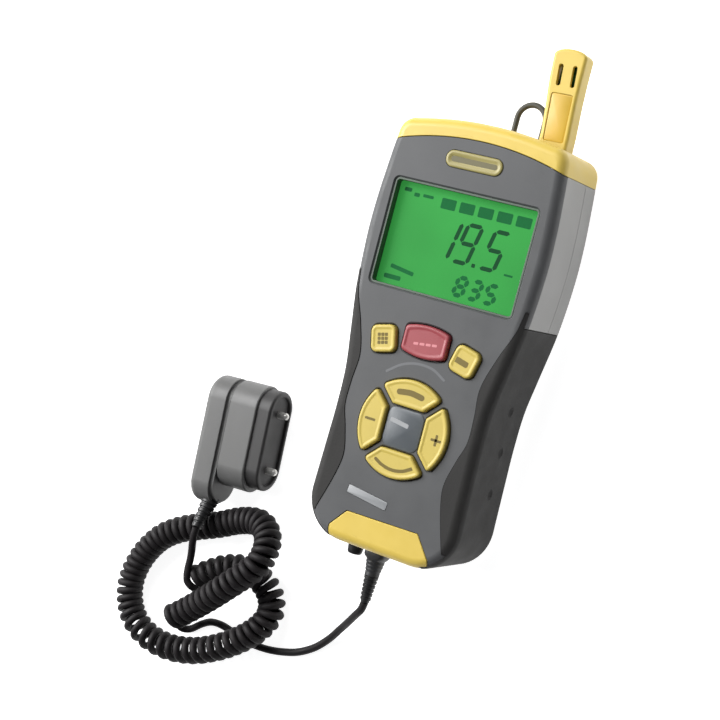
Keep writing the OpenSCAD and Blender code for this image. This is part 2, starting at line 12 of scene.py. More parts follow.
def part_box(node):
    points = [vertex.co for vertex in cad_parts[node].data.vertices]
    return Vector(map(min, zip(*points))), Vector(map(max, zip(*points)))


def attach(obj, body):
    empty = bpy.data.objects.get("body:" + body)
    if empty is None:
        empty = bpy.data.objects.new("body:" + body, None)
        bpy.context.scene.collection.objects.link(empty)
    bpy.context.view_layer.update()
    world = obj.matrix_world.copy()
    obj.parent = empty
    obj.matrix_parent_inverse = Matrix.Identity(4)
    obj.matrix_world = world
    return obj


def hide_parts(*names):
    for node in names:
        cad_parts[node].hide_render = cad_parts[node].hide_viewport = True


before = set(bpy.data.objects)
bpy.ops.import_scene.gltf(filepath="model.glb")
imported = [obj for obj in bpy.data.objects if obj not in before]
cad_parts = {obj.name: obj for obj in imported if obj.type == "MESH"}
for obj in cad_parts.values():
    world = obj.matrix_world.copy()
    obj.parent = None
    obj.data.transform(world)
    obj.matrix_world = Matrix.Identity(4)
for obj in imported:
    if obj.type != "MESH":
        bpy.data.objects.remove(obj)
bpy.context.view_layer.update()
MM = 0.001


def box(node):
    """Lowest and highest corner of a CAD node, in millimetres."""
    low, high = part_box(node)
    return np.array(low) / MM, np.array(high) / MM


# ---------- camera ----------

CAMERA_AT = Vector((0.2525, 0.0272, 0.5665))
CAMERA_RIGHT = Vector((0.847, 0.254, -0.466))
CAMERA_UP = Vector((-0.257, 0.965, 0.059))


def add_camera():
    data = bpy.data.cameras.new("camera")
    data.lens = 77
    data.sensor_width = 36
    data.clip_start = 0.02
    camera = bpy.data.objects.new("camera", data)
    bpy.context.scene.collection.objects.link(camera)
    right = CAMERA_RIGHT.normalized()
    back = right.cross(CAMERA_UP).normalized()
    up = back.cross(right)
    turn = Matrix((right, up, back)).transposed()
    camera.matrix_world = Matrix.Translation(CAMERA_AT) @ turn.to_4x4()
    bpy.context.scene.camera = camera


add_camera()

# ---------- meshes ----------


def solid(name, mesh):
    piece = bpy.data.objects.new(name, mesh)
    bpy.context.scene.collection.objects.link(piece)
    return piece


def show(name, mesh, material, body, slot, *nodes):
    """A new piece with that mesh, on that body, in place of those CAD nodes."""
    piece = solid(name, mesh)
    mesh.materials.append(material)
    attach(piece, body)
    if nodes:
        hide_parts(*nodes)
    return piece


def show_skin(name, skin, material, body, slot, *nodes, sharp=35):
    """The same, from the points and faces of its skin."""
    return show(name, new_mesh(name, *skin, sharp=sharp), material, body, slot, *nodes)


def even_normals(piece):
    """Shades flat faces flat beside rounded edges."""
    normal = piece.modifiers.new("normals", "WEIGHTED_NORMAL")
    normal.keep_sharp = True
    return normal


def soften_edges(piece, width, weld_gap, segments, angle):
    """Joins points that are almost one, and eases the edges over that angle."""
    weld = piece.modifiers.new("weld", "WELD")
    weld.merge_threshold = weld_gap * MM
    if not width:
        return
    bevel = piece.modifiers.new("soften", "BEVEL")
    bevel.width = width * MM
    bevel.segments = segments
    bevel.limit_method = "ANGLE"
    bevel.angle_limit = math.radians(angle)
    return bevel


def new_mesh(name, points, faces, sharp=35):
    """A smooth-shaded mesh from points in millimetres, with edges over that angle kept sharp."""
    mesh = bpy.data.meshes.new(name)
    mesh.from_pydata([tuple(float(v) * MM for v in p) for p in points], [], faces)
    mesh.validate()
    shade(mesh, sharp)
    return mesh


def shade(mesh, sharp=35):
    mesh.polygons.foreach_set("use_smooth", [True] * len(mesh.polygons))
    mesh.set_sharp_from_angle(angle=math.radians(sharp))
    mesh.update()


def loft(rings, closed=False):
    """Points and faces of a skin over rings of equal counts: capped at both ends, or joined end to end."""
    count = len(rings[0])
    points = [p for ring in rings for p in ring]
    faces = []
    pairs = [(i, i + 1) for i in range(len(rings) - 1)]
    if closed:
        pairs.append((len(rings) - 1, 0))
    for i, j in pairs:
        for k in range(count):
            m = (k + 1) % count
            faces.append((i * count + k, i * count + m, j * count + m, j * count + k))
    if not closed:
        faces.append(tuple(reversed(range(count))))
        faces.append(tuple((len(rings) - 1) * count + k for k in range(count)))
    return points, faces


def at_height(loop, z):
    return [(x, y, z) for x, y in loop]


def stack(*layers):
    """Rings from (loop, height) pairs."""
    return [at_height(loop, z) for loop, z in layers]


def arc(centre, radius, start, end, steps):
    """Points on an arc in the plane, angles in degrees."""
    return [(centre[0] + radius * math.cos(math.radians(start + (end - start) * i / steps)),
             centre[1] + radius * math.sin(math.radians(start + (end - start) * i / steps)))
            for i in range(steps + 1)]


def circle(centre, radius, steps=32):
    return arc(centre, radius, 0, 360 - 360 / steps, steps - 1)


def rounded_loop(width, height, radius, centre=(0, 0), steps=6):
    """A rounded rectangle, counterclockwise."""
    loop = []
    for corner, (sx, sy) in enumerate([(1, -1), (1, 1), (-1, 1), (-1, -1)]):
        middle = (centre[0] + sx * (width / 2 - radius), centre[1] + sy * (height / 2 - radius))
        loop += arc(middle, radius, -90 + 90 * corner, 90 * corner, steps)
    return loop


def inward(loop, distance):
    """The loop moved inwards along its own normals."""
    points = np.array(loop, float)
    before = points - np.roll(points, 1, 0)
    after = np.roll(points, -1, 0) - points
    before /= np.maximum(np.linalg.norm(before, axis=1), 1e-9)[:, None]
    after /= np.maximum(np.linalg.norm(after, axis=1), 1e-9)[:, None]
    normals = np.stack([-(before + after)[:, 1], (before + after)[:, 0]], 1)
    normals /= np.maximum(np.linalg.norm(normals, axis=1), 1e-9)[:, None]
    lean = np.clip(np.sum(normals * np.stack([-after[:, 1], after[:, 0]], 1), axis=1), 0.5, 1)
    return [tuple(p) for p in points + normals * (distance / lean)[:, None]]


def turned(loop, angle, centre=(0, 0)):
    """The loop turned about the origin by degrees and then moved to centre."""
    c, s = math.cos(math.radians(angle)), math.sin(math.radians(angle))
    return [(centre[0] + c * x - s * y, centre[1] + s * x + c * y) for x, y in loop]


def prism(loop, low, high):
    """A closed prism over a counterclockwise loop."""
    return new_mesh("prism", *loft(stack((loop, low), (loop, high))))


def disc(x, y, radius, low, high):
    return prism(circle((x, y), radius), low, high)


def block(low, high):
    (x1, y1, z1), (x2, y2, z2) = low, high
    return prism([(x1, y1), (x2, y1), (x2, y2), (x1, y2)], z1, z2)


def turned_along_y(x, z, profile):
    """Points and faces of a turned part along Y, from (y, radius) pairs that run towards the bottom."""
    return loft([[(x + a, y, z + b) for a, b in circle((0, 0), r)] for y, r in profile])


def along_y(x, z, radius, start, end):
    """A closed cylinder along Y."""
    return new_mesh("rod", *turned_along_y(x, z, [(end, radius), (start, radius)]))


def combine(mesh, others, operation):
    """The mesh joined with, cut by or kept inside the others, in order. The others are used up."""
    base = solid("base", mesh)
    for other in others:
        tool = solid("tool", other)
        modifier = base.modifiers.new("cut", "BOOLEAN")
        modifier.operation = operation
        modifier.solver = "MANIFOLD"
        modifier.object = tool
        graph = bpy.context.evaluated_depsgraph_get()
        result = bpy.data.meshes.new_from_object(base.evaluated_get(graph))
        base.modifiers.clear()
        base.data = result
        bpy.data.objects.remove(tool)
    result = base.data
    bpy.data.objects.remove(base)
    result.materials.clear()
    shade(result)
    return result


def cut(mesh, *tools):
    return combine(mesh, tools, "DIFFERENCE")


def keep(mesh, *tools):
    return combine(mesh, tools, "INTERSECT")


def tube(route, radius, sides):
    """Points and faces of a round tube along a route, with frames carried along it. radius may vary."""
    route = np.array(route, float)
    radii = np.broadcast_to(np.asarray(radius, float), (len(route),))
    ahead = np.gradient(route, axis=0)
    ahead /= np.linalg.norm(ahead, axis=1)[:, None]
    side = np.cross(ahead[0], (0.3, 0.2, 1))
    angles = np.arange(sides) * 2 * math.pi / sides
    rings = []
    for place, along, r in zip(route, ahead, radii):
        side = side - along * np.dot(side, along)
        side /= np.linalg.norm(side)
        up = np.cross(along, side)
        rings.append([tuple(place + r * (math.cos(a) * side + math.sin(a) * up)) for a in angles])
    return loft(rings)


def spline(points, step):
    """A smooth curve through points, sampled about every step."""
    p = np.array(points, float)
    p = np.vstack([2 * p[0] - p[1], p, 2 * p[-1] - p[-2]])
    out = []
    for a, b, c, d in zip(p[:-3], p[1:-2], p[2:-1], p[3:]):
        count = max(int(round(np.linalg.norm(c - b) / step)), 1)
        for i in range(count):
            t = i / count
            out.append(0.5 * (2 * b + (c - a) * t + (2 * a - 5 * b + 4 * c - d) * t ** 2
                              + (3 * b - a - 3 * c + d) * t ** 3))
    out.append(p[-2])
    return np.array(out)


# ---------- materials ----------


class Shader:
    """A principled material and short ways to add nodes to it."""

    def __init__(self, name, color, rough, **settings):
        self.material = bpy.data.materials.new(name)
        self.material.use_nodes = True
        self.tree = self.material.node_tree
        self.main = self.tree.nodes["Principled BSDF"]
        self.set(self.main, "Base Color", (*color, 1))
        self.set(self.main, "Roughness", rough)
        for key, value in settings.items():
            self.set(self.main, key.replace("_", " "), value)
        self.place = self.tree.nodes.new("ShaderNodeTexCoord").outputs["Object"]

    def set(self, node, socket, value):
        node.inputs[socket].default_value = value

    def noise(self, scale, detail=3, stretch=None):
        """A noise whose scale is in cells per metre, in the object's own space."""
        node = self.tree.nodes.new("ShaderNodeTexNoise")
        self.set(node, "Scale", scale)
        self.set(node, "Detail", detail)
        source = self.place
        if stretch:
            mapping = self.tree.nodes.new("ShaderNodeMapping")
            self.set(mapping, "Scale", stretch)
            self.tree.links.new(source, mapping.inputs["Vector"])
            source = mapping.outputs["Vector"]
        self.tree.links.new(source, node.inputs["Vector"])
        return node.outputs["Fac"]

    def spread(self, value, low, high, start=0.3, end=0.7):
        """The value from start to end, as a number from low to high."""
        node = self.tree.nodes.new("ShaderNodeMapRange")
        for socket, number in (("From Min", start), ("From Max", end), ("To Min", low), ("To Max", high)):
            self.set(node, socket, number)
        self.tree.links.new(value, node.inputs["Value"])
        return node.outputs["Result"]

    def mottle(self, value, dark, light):
        """Base colour between two shades, as the value says."""
        node = self.tree.nodes.new("ShaderNodeMix")
        node.data_type = "RGBA"
        self.tree.links.new(self.spread(value, 0, 1), node.inputs["Factor"])
        colors = [s for s in node.inputs if s.type == "RGBA"]
        colors[0].default_value = (*dark, 1)
        colors[1].default_value = (*light, 1)
        result = [s for s in node.outputs if s.type == "RGBA"][0]
        self.tree.links.new(result, self.main.inputs["Base Color"])
        return result

    def vary_roughness(self, value, low, high):
        self.tree.links.new(self.spread(value, low, high), self.main.inputs["Roughness"])

    def bump(self, value, height, strength=1.0, before=None):
        """Adds relief of about that height, in millimetres."""
        node = self.tree.nodes.new("ShaderNodeBump")
        self.set(node, "Strength", strength)
        self.set(node, "Distance", height * MM)
        self.tree.links.new(value, node.inputs["Height"])
        if before:
            self.tree.links.new(before, node.inputs["Normal"])
        self.tree.links.new(node.outputs["Normal"], self.main.inputs["Normal"])
        return node.outputs["Normal"]


def tint(color, factor):
    return tuple(min(c * factor, 1) for c in color)


def moulded(name, color, rough, grain=0.03, grain_size=0.5, mottle=0.06, **settings):
    """Moulded plastic or rubber: spark-eroded grain, a slight unevenness and handling marks in the gloss."""
    shader = Shader(name, color, rough, **settings)
    shader.mottle(shader.noise(60, 4), tint(color, 1 - mottle), tint(color, 1 + mottle))
    shader.vary_roughness(shader.noise(120, 5), rough - 0.07, rough + 0.07)
    waves = shader.bump(shader.noise(90, 2), 0.05, 0.5)
    shader.bump(shader.noise(1000 / grain_size, 3), grain, 1.0, before=waves)
    return shader.material


def brushed(name, color, rough):
    """Metal with fine streaks along it."""
    shader = Shader(name, color, rough, Metallic=1.0)
    streaks = shader.noise(400, 4, stretch=(1, 30, 1))
    shader.mottle(streaks, tint(color, 0.85), tint(color, 1.08))
    shader.vary_roughness(streaks, rough - 0.1, rough + 0.12)
    shader.bump(streaks, 0.01, 0.6)
    return shader.material


def display_glow(name, color, glow):
    """The lit display: its glow brighter and darker in broad soft patches, with a faint fine bump."""
    shader = Shader(name, color, 0.45)
    shader.set(shader.main, "Specular IOR Level", 0.08)
    cloud = shader.noise(25, 2)
    shade_out = shader.mottle(cloud, tint(color, 0.88), tint(color, 1.10))
    shader.tree.links.new(shade_out, shader.main.inputs["Emission Color"])
    shader.set(shader.main, "Emission Strength", glow)
    shader.bump(shader.noise(1500, 1), 0.01, 0.4)
    return shader.material


def clear(name):
    """A faintly green window."""
    shader = Shader(name, (0.05, 0.16, 0.07), 0.04, IOR=1.45)
    shader.set(shader.main, "Alpha", 0.12)
    shader.vary_roughness(shader.noise(200, 4), 0.03, 0.12)
    return shader.material


PANEL = moulded("panel_grey", (0.094, 0.096, 0.099), 0.46, grain=0.02, Specular_IOR_Level=0.3)
SIDE = moulded("side_grey", (0.305, 0.302, 0.294), 0.48, grain=0.03)
RUBBER = moulded("grip_rubber", (0.035, 0.034, 0.033), 0.66, grain=0.05, grain_size=0.8, mottle=0.12,
                 Specular_IOR_Level=0.2)
YELLOW = moulded("yellow_plastic", (0.68, 0.50, 0.095), 0.40, grain=0.012, mottle=0.04)
AMBER = moulded("amber_plastic", (0.62, 0.40, 0.045), 0.40, grain=0.012, mottle=0.05)
KEY_YELLOW = moulded("key_yellow", (0.58, 0.45, 0.095), 0.48, grain=0.015, mottle=0.04)
KEY_RED = moulded("key_red", (0.32, 0.055, 0.066), 0.44, grain=0.015, mottle=0.06)
OLIVE = moulded("olive_print", (0.16, 0.115, 0.015), 0.6, grain=0.01, mottle=0.10)
PALE_PRINT = moulded("pale_print", (0.36, 0.37, 0.38), 0.5, grain=0.01, mottle=0.10)
ISLAND = moulded("island_grey", (0.105, 0.118, 0.130), 0.42, grain=0.015)
# Painted glow: the display's black frame gets a lighter green-grey that stands in for the display's green light
# falling on it.
BEZEL_GLOW_TINT = moulded("bezel_painted_glow", (0.075, 0.105, 0.078), 0.5, grain=0.01)
BLACK = moulded("black_plastic", (0.012, 0.012, 0.013), 0.4, grain=0.015, mottle=0.15)
PLUG_GREY = moulded("plug_grey", (0.035, 0.036, 0.040), 0.42, grain=0.02, mottle=0.12)
CORD = moulded("cord_jacket", (0.011, 0.009, 0.010), 0.62, grain=0.01, grain_size=0.4, mottle=0.2,
               Specular_IOR_Level=0.3)
PROBE = moulded("probe_grey", (0.118, 0.118, 0.116), 0.48, grain=0.025, mottle=0.05)
PROBE_DARK = moulded("probe_dark", (0.030, 0.029, 0.029), 0.52, grain=0.025, mottle=0.1)
BADGE_RIM = moulded("badge_rim", (0.33, 0.285, 0.10), 0.42, grain=0.012)
BADGE_FIELD = moulded("badge_field", (0.12, 0.105, 0.038), 0.45, grain=0.012)
BOARD = moulded("circuit_board", (0.02, 0.12, 0.05), 0.35, grain=0.02)
WHITE = moulded("white_plastic", (0.7, 0.75, 0.7), 0.4, grain=0.01)
MAT = moulded("keypad_rubber", (0.4, 0.4, 0.39), 0.6, grain=0.03)
BATTERY = moulded("battery_jacket", (0.03, 0.03, 0.034), 0.3, grain=0.008, Metallic=0.6)
METAL = brushed("contact_metal", (0.80, 0.78, 0.74), 0.22)
PIN = moulded("pin_metal", (0.74, 0.73, 0.70), 0.28, grain=0.005, Metallic=0.45)
STEEL = brushed("screw_steel", (0.56, 0.56, 0.58), 0.34)
GLASS_GREEN = display_glow("display_green", (0.022, 0.195, 0.034), 1.35)
SEGMENT = moulded("display_segment", (0.002, 0.055, 0.018), 0.5, grain=0.005, Specular_IOR_Level=0.05)
SEGMENT_PALE = moulded("display_segment_pale", (0.004, 0.155, 0.040), 0.5, grain=0.005,
                       Specular_IOR_Level=0.05)
PINK_PRINT = moulded("pink_print", (0.62, 0.22, 0.24), 0.5, grain=0.01)
FAINT_PRINT = moulded("faint_print", (0.130, 0.134, 0.142), 0.5, grain=0.01)
LABEL = moulded("label_strip", (0.33, 0.34, 0.35), 0.45, grain=0.012)
LOOP = moulded("loop_cord", (0.05, 0.05, 0.042), 0.6, grain=0.03, grain_size=0.4, mottle=0.2)
LENS = clear("clear_lens")

# ---------- cord ----------

LEAD = 3.2  # diameter of the lead
CURL = 12.8  # outer diameter of the curly part
CURL_PLAY = 0.45  # how far the helix stays inside that
PROBE_ROUTE = [
    (-92, -104.5, 17.6), (-92.4, -108, 17.2), (-93, -112, 15.8), (-93.6, -116, 13.8), (-94.2, -120, 12.3),
    (-94.6, -123.5, 11.7), (-94.4, -126.8, 11.5), (-93.6, -129.5, 11.4)]
CURL_ROUTE = [
    (-94, -129.5, 6.5), (-87, -124, 6.5), (-79, -119, 6.5), (-70, -116.5, 6.5), (-62, -118, 6.5),
    (-55.5, -122.5, 6.5), (-52.5, -129, 7), (-54, -135.5, 8.6), (-58.5, -141.5, 9.8), (-65.5, -147.5, 10),
    (-74, -153, 9), (-84.5, -158, 7.5), (-97, -161, 6.5), (-109.5, -160, 6.5), (-119, -154.5, 6.5),
    (-124, -145.5, 6.5), (-124.5, -136, 6.5), (-121, -125.5, 6.5), (-114.5, -116.5, 6.5),
    (-106, -110.4, 6.5), (-97.5, -106.5, 6.5), (-88, -102.5, 6.5), (-77, -97.2, 7.4), (-67, -95, 9.6),
    (-60, -98, 13), (-56.8, -103.5, 16.8), (-57.5, -110, 19.6), (-63, -116.8, 20.3),
    (-69.5, -123.5, 19.6), (-77, -130.5, 17), (-84.5, -137, 14.2), (-91.5, -143, 12.4), (-96.5, -147, 11.8)]
METER_ROUTE = [
    (-96, -148.5, 7.4), (-95.5, -151.5, 4.4), (-92, -151.5, 1.9), (-87, -147.5, 1.6), (-82.5, -145, 1.6),
    (-77, -144.5, 1.6), (-71, -145.5, 1.6), (-65, -146.5, 1.6), (-59, -147, 1.6), (-52, -146.5, 1.6),
    (-45, -145, 1.6), (-38, -142.5, 1.6), (-31, -138, 1.8), (-25, -132, 3), (-19.5, -125.5, 6.5),
    (-14.5, -120, 11), (-10, -115, 15.4), (-7, -111.5, 18.2), (-6, -108, 19)]

# How far apart the turns lie along the curly part: (share of its length, pitch)
PITCHES = [(0, 4.3), (0.12, 4.2), (0.16, 3.5), (0.22, 3.5), (0.27, 4.8), (0.41, 4.9), (0.45, 3.35),
           (0.57, 3.35), (0.61, 3.8), (0.68, 3.8), (0.71, 3.35), (0.84, 3.35), (0.88, 4.2), (1, 4.3)]
TURN_POINTS = 18  # points on each turn of the helix


def curl_points():
    """The helix of the lead, from the top of its first turn to the bottom of its last."""
    line = spline(CURL_ROUTE, 0.25)
    gaps = np.linalg.norm(np.diff(line, axis=0), axis=1)
    along = np.concatenate([[0], np.cumsum(gaps)])
    share = along / along[-1]
    pitch = np.interp(share, *zip(*PITCHES))
    turns = np.concatenate([[0], np.cumsum(gaps / (0.5 * (pitch[1:] + pitch[:-1])))])
    whole = round(turns[-1] - 0.5) + 0.5
    turns *= whole / turns[-1]
    count = int(whole * TURN_POINTS)
    place = np.linspace(0, whole, count + 1)
    ahead = np.gradient(line, axis=0)
    ahead /= np.linalg.norm(ahead, axis=1)[:, None]
    reach = CURL / 2 - LEAD / 2 - CURL_PLAY
    points = []
    for t in place:
        i = min(int(np.searchsorted(turns, t)), len(line) - 1)
        centre = np.array([np.interp(t, turns, line[:, k]) for k in range(3)])
        left = np.cross((0, 0, 1), ahead[i])
        left /= np.linalg.norm(left)
        up = np.cross(ahead[i], left)
        angle = 2 * math.pi * t
        points.append(centre + reach * (math.cos(angle) * up - math.sin(angle) * left))
    return np.array(points)


def build_cord():
    helix = curl_points()
    first = spline(PROBE_ROUTE[:-1] + [tuple(helix[0])], 1.2)
    last = spline([tuple(helix[-1])] + METER_ROUTE[1:], 1.2)
    line = np.vstack([first[:-1], helix, last[1:]])
    skin_of_lead = tube(line, LEAD / 2, 12)
    lead = show_skin("lead", skin_of_lead, CORD, "lead", "cord_jacket",
                     "meter_lead", "curly_cord", "probe_lead", sharp=80)
    return lead, line


lead, lead_line = build_cord()

# ---------- case ----------

front_low, front_high = box("front_case")
TOP = front_high[2]  # level of the front panel
SPLIT = front_low[2]  # parting line of the two half shells
HALF = box("rear_case")[1][0]  # half the width of the case
BOTTOM = box("bottom_cap")[0][1]  # bottom end of the case
END = -BOTTOM  # top end of the case
EDGE = 4.0  # rounding of the front and back edges
PARTING = TOP - EDGE  # parting line between the panel and the side frame
LIP = TOP - 1.5  # underside of a grip's lip on the panel
WALL = 4.4  # thickness of the side frame
BACK = 2.5  # thickness of the back plate
PANEL_IN = 34.8  # inner face of the front panel
SEAM = 0.13  # how far a piece stays back from a seam
CAP_SEAM = 0.30  # the same, where the panel meets a cap
# Half the width of the case, as (height, share of HALF), and how far out the panel's grips begin
WAIST = [(-67.8, 0.8545), (-48, 0.840), (-34, 0.832), (-19, 0.842), (-5, 0.893), (15, 0.968),
         (35, 1.0), (50, 0.993), (66, 0.962), (75, 0.94)]
GRIP_EDGE = [(-76, 0.740), (-60, 0.612), (-51, 0.576), (-41, 0.637), (-33, 0.702), (-23, 0.702),
             (-12, 0.684), (0, 0.772), (12, 0.893), (20, 0.93)]
GRIP_SKIN = 2.2  # thickness of a rubber grip
GRIP_TOP = 14.0  # upper end of its side skin
GRIP_FOOT = 20.8  # where that ends on the bottom, from the middle
GRIP_PROUD = 0.25  # how far a grip stands out of the case
CORNER = 17.0  # rounding of the bottom corners
CORNER_AT = (0.4132 * HALF, BOTTOM + CORNER)
SHOULDER = 7.0  # rounding of the top corners
SHOULDER_AT = (0.94 * HALF - SHOULDER, 75.0)
CROWN = 150.0  # radius of the bowed top end
CAP_ARC = 119.0  # radius of the top cap's lower edge
CAP_CENTRE = END - 7 - CAP_ARC  # where that arc is centred
OUTSIDE = 8  # how far a cutter reaches past the case
INLAY = [(-14.5, -72.2), (-20.5, -79.4), (-20.5, -92), (23.5, -92), (23.5, -80), (17, -71.6)]


def smooth_at(table, y):
    """Value at y on the smooth curve through a table of (place, value)."""
    last = len(table) - 1

    def slope(i):
        a, b = table[max(i - 1, 0)], table[min(i + 1, last)]
        return (b[1] - a[1]) / (b[0] - a[0])

    i = 0
    while i < last - 1 and y > table[i + 1][0]:
        i += 1
    p, q = table[i], table[i + 1]
    d = q[0] - p[0]
    t = min(max((y - p[0]) / d, 0), 1)
    return ((2 * t ** 3 - 3 * t * t + 1) * p[1] + (t ** 3 - 2 * t * t + t) * d * slope(i)
            + (3 * t * t - 2 * t ** 3) * q[1] + (t ** 3 - t * t) * d * slope(i + 1))


def side_x(y, inset=0.0):
    """Half the width of the case at height y."""
    if y < CORNER_AT[1]:
        return CORNER_AT[0] + math.sqrt(max((CORNER - inset) ** 2 - (y - CORNER_AT[1]) ** 2, 0))
    return HALF * smooth_at(WAIST, y) - inset


def outline(inset=0.0):
    """Outline of the case, that far inside its wall, counterclockwise from the bottom."""
    half = arc(CORNER_AT, CORNER - inset, -90, 0, 12)
    half += [(side_x(y, inset), y) for y in np.linspace(CORNER_AT[1], SHOULDER_AT[1], 48)[1:]]
    half += arc(SHOULDER_AT, SHOULDER - inset, 0, 78, 8)[1:]
    half += [(x, END - inset - x * x / (2 * CROWN)) for x in np.linspace(28, 4, 7)]
    return half + [(-x, y) for x, y in reversed(half)]


def front_edge(proud=0.0):
    """Rings of the rounded front edge, from the parting line up to the flat of the panel."""
    reach = EDGE + proud
    return stack(*[(outline(EDGE - reach * math.cos(a)), PARTING + reach * math.sin(a))
                   for a in np.linspace(0, math.pi / 2, 9)])


def back_edge(proud=0.0):
    """Rings of the rounded back edge, from the flat of the back up."""
    reach = EDGE + proud
    return stack(*[(outline(EDGE - reach * math.cos(a)), EDGE - reach * math.sin(a))
                   for a in np.linspace(math.pi / 2, 0, 7)])


def skin(proud=0.0):
    """The whole outer body of the case, as one closed mesh."""
    return new_mesh("skin", *loft(back_edge(proud) + front_edge(proud)))


def hollow():
    """The room inside the case."""
    return prism(outline(WALL), BACK, PANEL_IN)


def cap_cutter(grow=0.0):
    """Everything above the lower edge of the top cap."""
    angles = np.radians(np.linspace(-24, 24, 49))
    edge = [((CAP_ARC - grow) * math.sin(a), CAP_CENTRE + (CAP_ARC - grow) * math.cos(a)) for a in angles]
    return prism([(-60, 120)] + edge + [(60, 120)], -2, TOP + 4)


def on_side(side, loop):
    """The loop on the right (1), or its mirror image on the left (-1)."""
    return loop if side > 0 else [(-x, y) for x, y in reversed(loop)]


def grip_skin_cutter(side, grow):
    """The zone of a grip's skin, round the side and the bottom corner; a positive grow makes it larger."""
    end, top, depth = GRIP_FOOT - grow, GRIP_TOP + grow, GRIP_SKIN + grow
    inner = [(end, BOTTOM + depth)]
    inner += [p for p in outline(depth) if p[0] > end + 0.2 and p[1] < top - 0.2]
    inner.append((side_x(top, depth), top))
    far, under = HALF + OUTSIDE, BOTTOM - OUTSIDE
    loop = [(end, under), (far, under), (far, top)] + list(reversed(inner))
    return prism(on_side(side, loop), EDGE - grow, LIP + 0.1)


def grip_lip_cutter(side, grow):
    """The zone of a grip's lip on the front panel."""
    inner = [(HALF * smooth_at(GRIP_EDGE, y) - grow, y) for y in np.linspace(-76 - grow, 20 + grow, 60)]
    far = HALF + OUTSIDE
    loop = [(far, inner[0][1]), (far, inner[-1][1])] + list(reversed(inner))
    return prism(on_side(side, loop), LIP - grow, TOP + 3)


def bottom_cutter(grow):
    """The zone of the bottom inlay in the front panel."""
    return prism(inward(INLAY, -grow), LIP - 0.5 - grow, TOP + 3)


def end_cutter(grow):
    """The zone of the plate on the bottom end."""
    return block((-18 - grow, BOTTOM - 3, 9 - grow), (20 + grow, BOTTOM + 2.2 + grow, TOP + 3))


JACK_X = box("plug_tip")[0][0] + 1.75  # axis of the plug
PORT_X = -16.0  # axis of the stopper
JACK_Z = 19.0  # height of both


def jack_cutters():
    return [along_y(JACK_X, JACK_Z, 3.4, BOTTOM - 2, BOTTOM + 6.2),
            along_y(PORT_X, JACK_Z, 2.6, BOTTOM - 2, BOTTOM + 6.2)]


def grip_cutters(grow):
    cutters = []
    for side in (1, -1):
        cutters += [grip_skin_cutter(side, grow), grip_lip_cutter(side, grow)]
    return cutters


def finish_piece(name, mesh, material, body, slot, *nodes, soften=0.0):
    """Puts a cut mesh in place, with its cut edges eased and flat faces shaded flat."""
    piece = show(name, mesh, material, body, slot, *nodes)
    bevel = soften_edges(piece, soften, weld_gap=0.02, segments=2, angle=38)
    if bevel:
        bevel.use_clamp_overlap = False
    even_normals(piece).weight = 100


# ---------- keys ----------

KEY_TOP = box("key_power")[1][2]
KEY_FOOT = box("key_power")[0][2]
DIP = 0.28  # depth of the dish in a key's top
RING_AT = (0, -35.3)  # middle of the ring of keys
RING = 19.3  # its outer radius
BRIDGE = 2.7  # gap between two keys of the ring
ISLAND_HALF = 8.6  # half the width of the square in the ring
KEY_PLAY = 0.40  # clearance round a key
POWER_AT = (0, -0.9)


def round_corners(loop, radius, least=30):
    """Rounds each corner of a loop that turns by more than that many degrees."""
    result = []
    count = len(loop)
    for i in range(count):
        a, b, c = (np.array(loop[(i + k) % count], float) for k in (-1, 0, 1))
        u, v = (b - a) / np.linalg.norm(b - a), (c - b) / np.linalg.norm(c - b)
        turn = math.acos(np.clip(np.dot(u, v), -1, 1))
        if math.degrees(turn) < least:
            result.append(tuple(b))
            continue
        reach = radius * math.tan(turn / 2)
        p, q = b - u * reach, b + v * reach
        for t in np.linspace(0, 1, 7):
            result.append(tuple((1 - t) ** 2 * p + 2 * t * (1 - t) * b + t * t * q))
    return result


def small_outline(grow=0.0):
    side = 10.7 + 2 * grow
    return rounded_loop(side, side, max(2.6 + grow, 0.4))


def power_outline(grow=0.0):
    """A rectangle with bowed top and bottom edges and round corners."""
    half, rise, bow = 9.6 + grow, 6.4 + grow, 1.7
    corner_rise = rise - bow
    top = [(x, rise - bow * (x / half) ** 2) for x in np.linspace(half * 0.8, -half * 0.8, 9)]
    upper = [(half, corner_rise)] + top + [(-half, corner_rise)]
    return round_corners(upper + [(-x, -y) for x, y in upper], max(2.0 + grow * 0.7, 0.3), 40)


def ring_outline(grow=0.0):
    """The top key of the ring, about the ring's middle."""
    radius = RING + grow
    gap = BRIDGE * 0.7071 - grow * 1.4142
    inner = ISLAND_HALF - grow
    start = math.pi / 4 + math.asin(gap / math.sqrt(2) / radius)
    sweep = np.linspace(start, math.pi - start, 17)
    outer = [(radius * math.cos(a), radius * math.sin(a)) for a in sweep]
    foot = inner - gap
    return round_corners(outer + [(-foot, inner), (foot, inner)], max(1.5 + grow, 0.35))


KEYS = {
    "key_left": (small_outline, 14, (-17.7, -3.8)),
    "key_right": (small_outline, -14, (17.7, -3.8)),
    "key_power": (power_outline, 0, POWER_AT),
    "key_up": (ring_outline, 0, RING_AT),
    "key_next": (ring_outline, -90, RING_AT),
    "key_down": (ring_outline, 180, RING_AT),
    "key_back": (ring_outline, 90, RING_AT),
}


def key_loop(name, grow):
    shape, turn, middle = KEYS[name]
    return turned(shape(grow), turn, middle)


def key_cutter(name):
    """The opening of a key, with its upper edge eased."""
    ease = 0.45
    inner, outer = key_loop(name, KEY_PLAY), key_loop(name, KEY_PLAY + ease)
    rings = stack((inner, PANEL_IN - 2), (inner, TOP - ease), (outer, TOP), (outer, TOP + 3))
    return new_mesh("opening", *loft(rings))


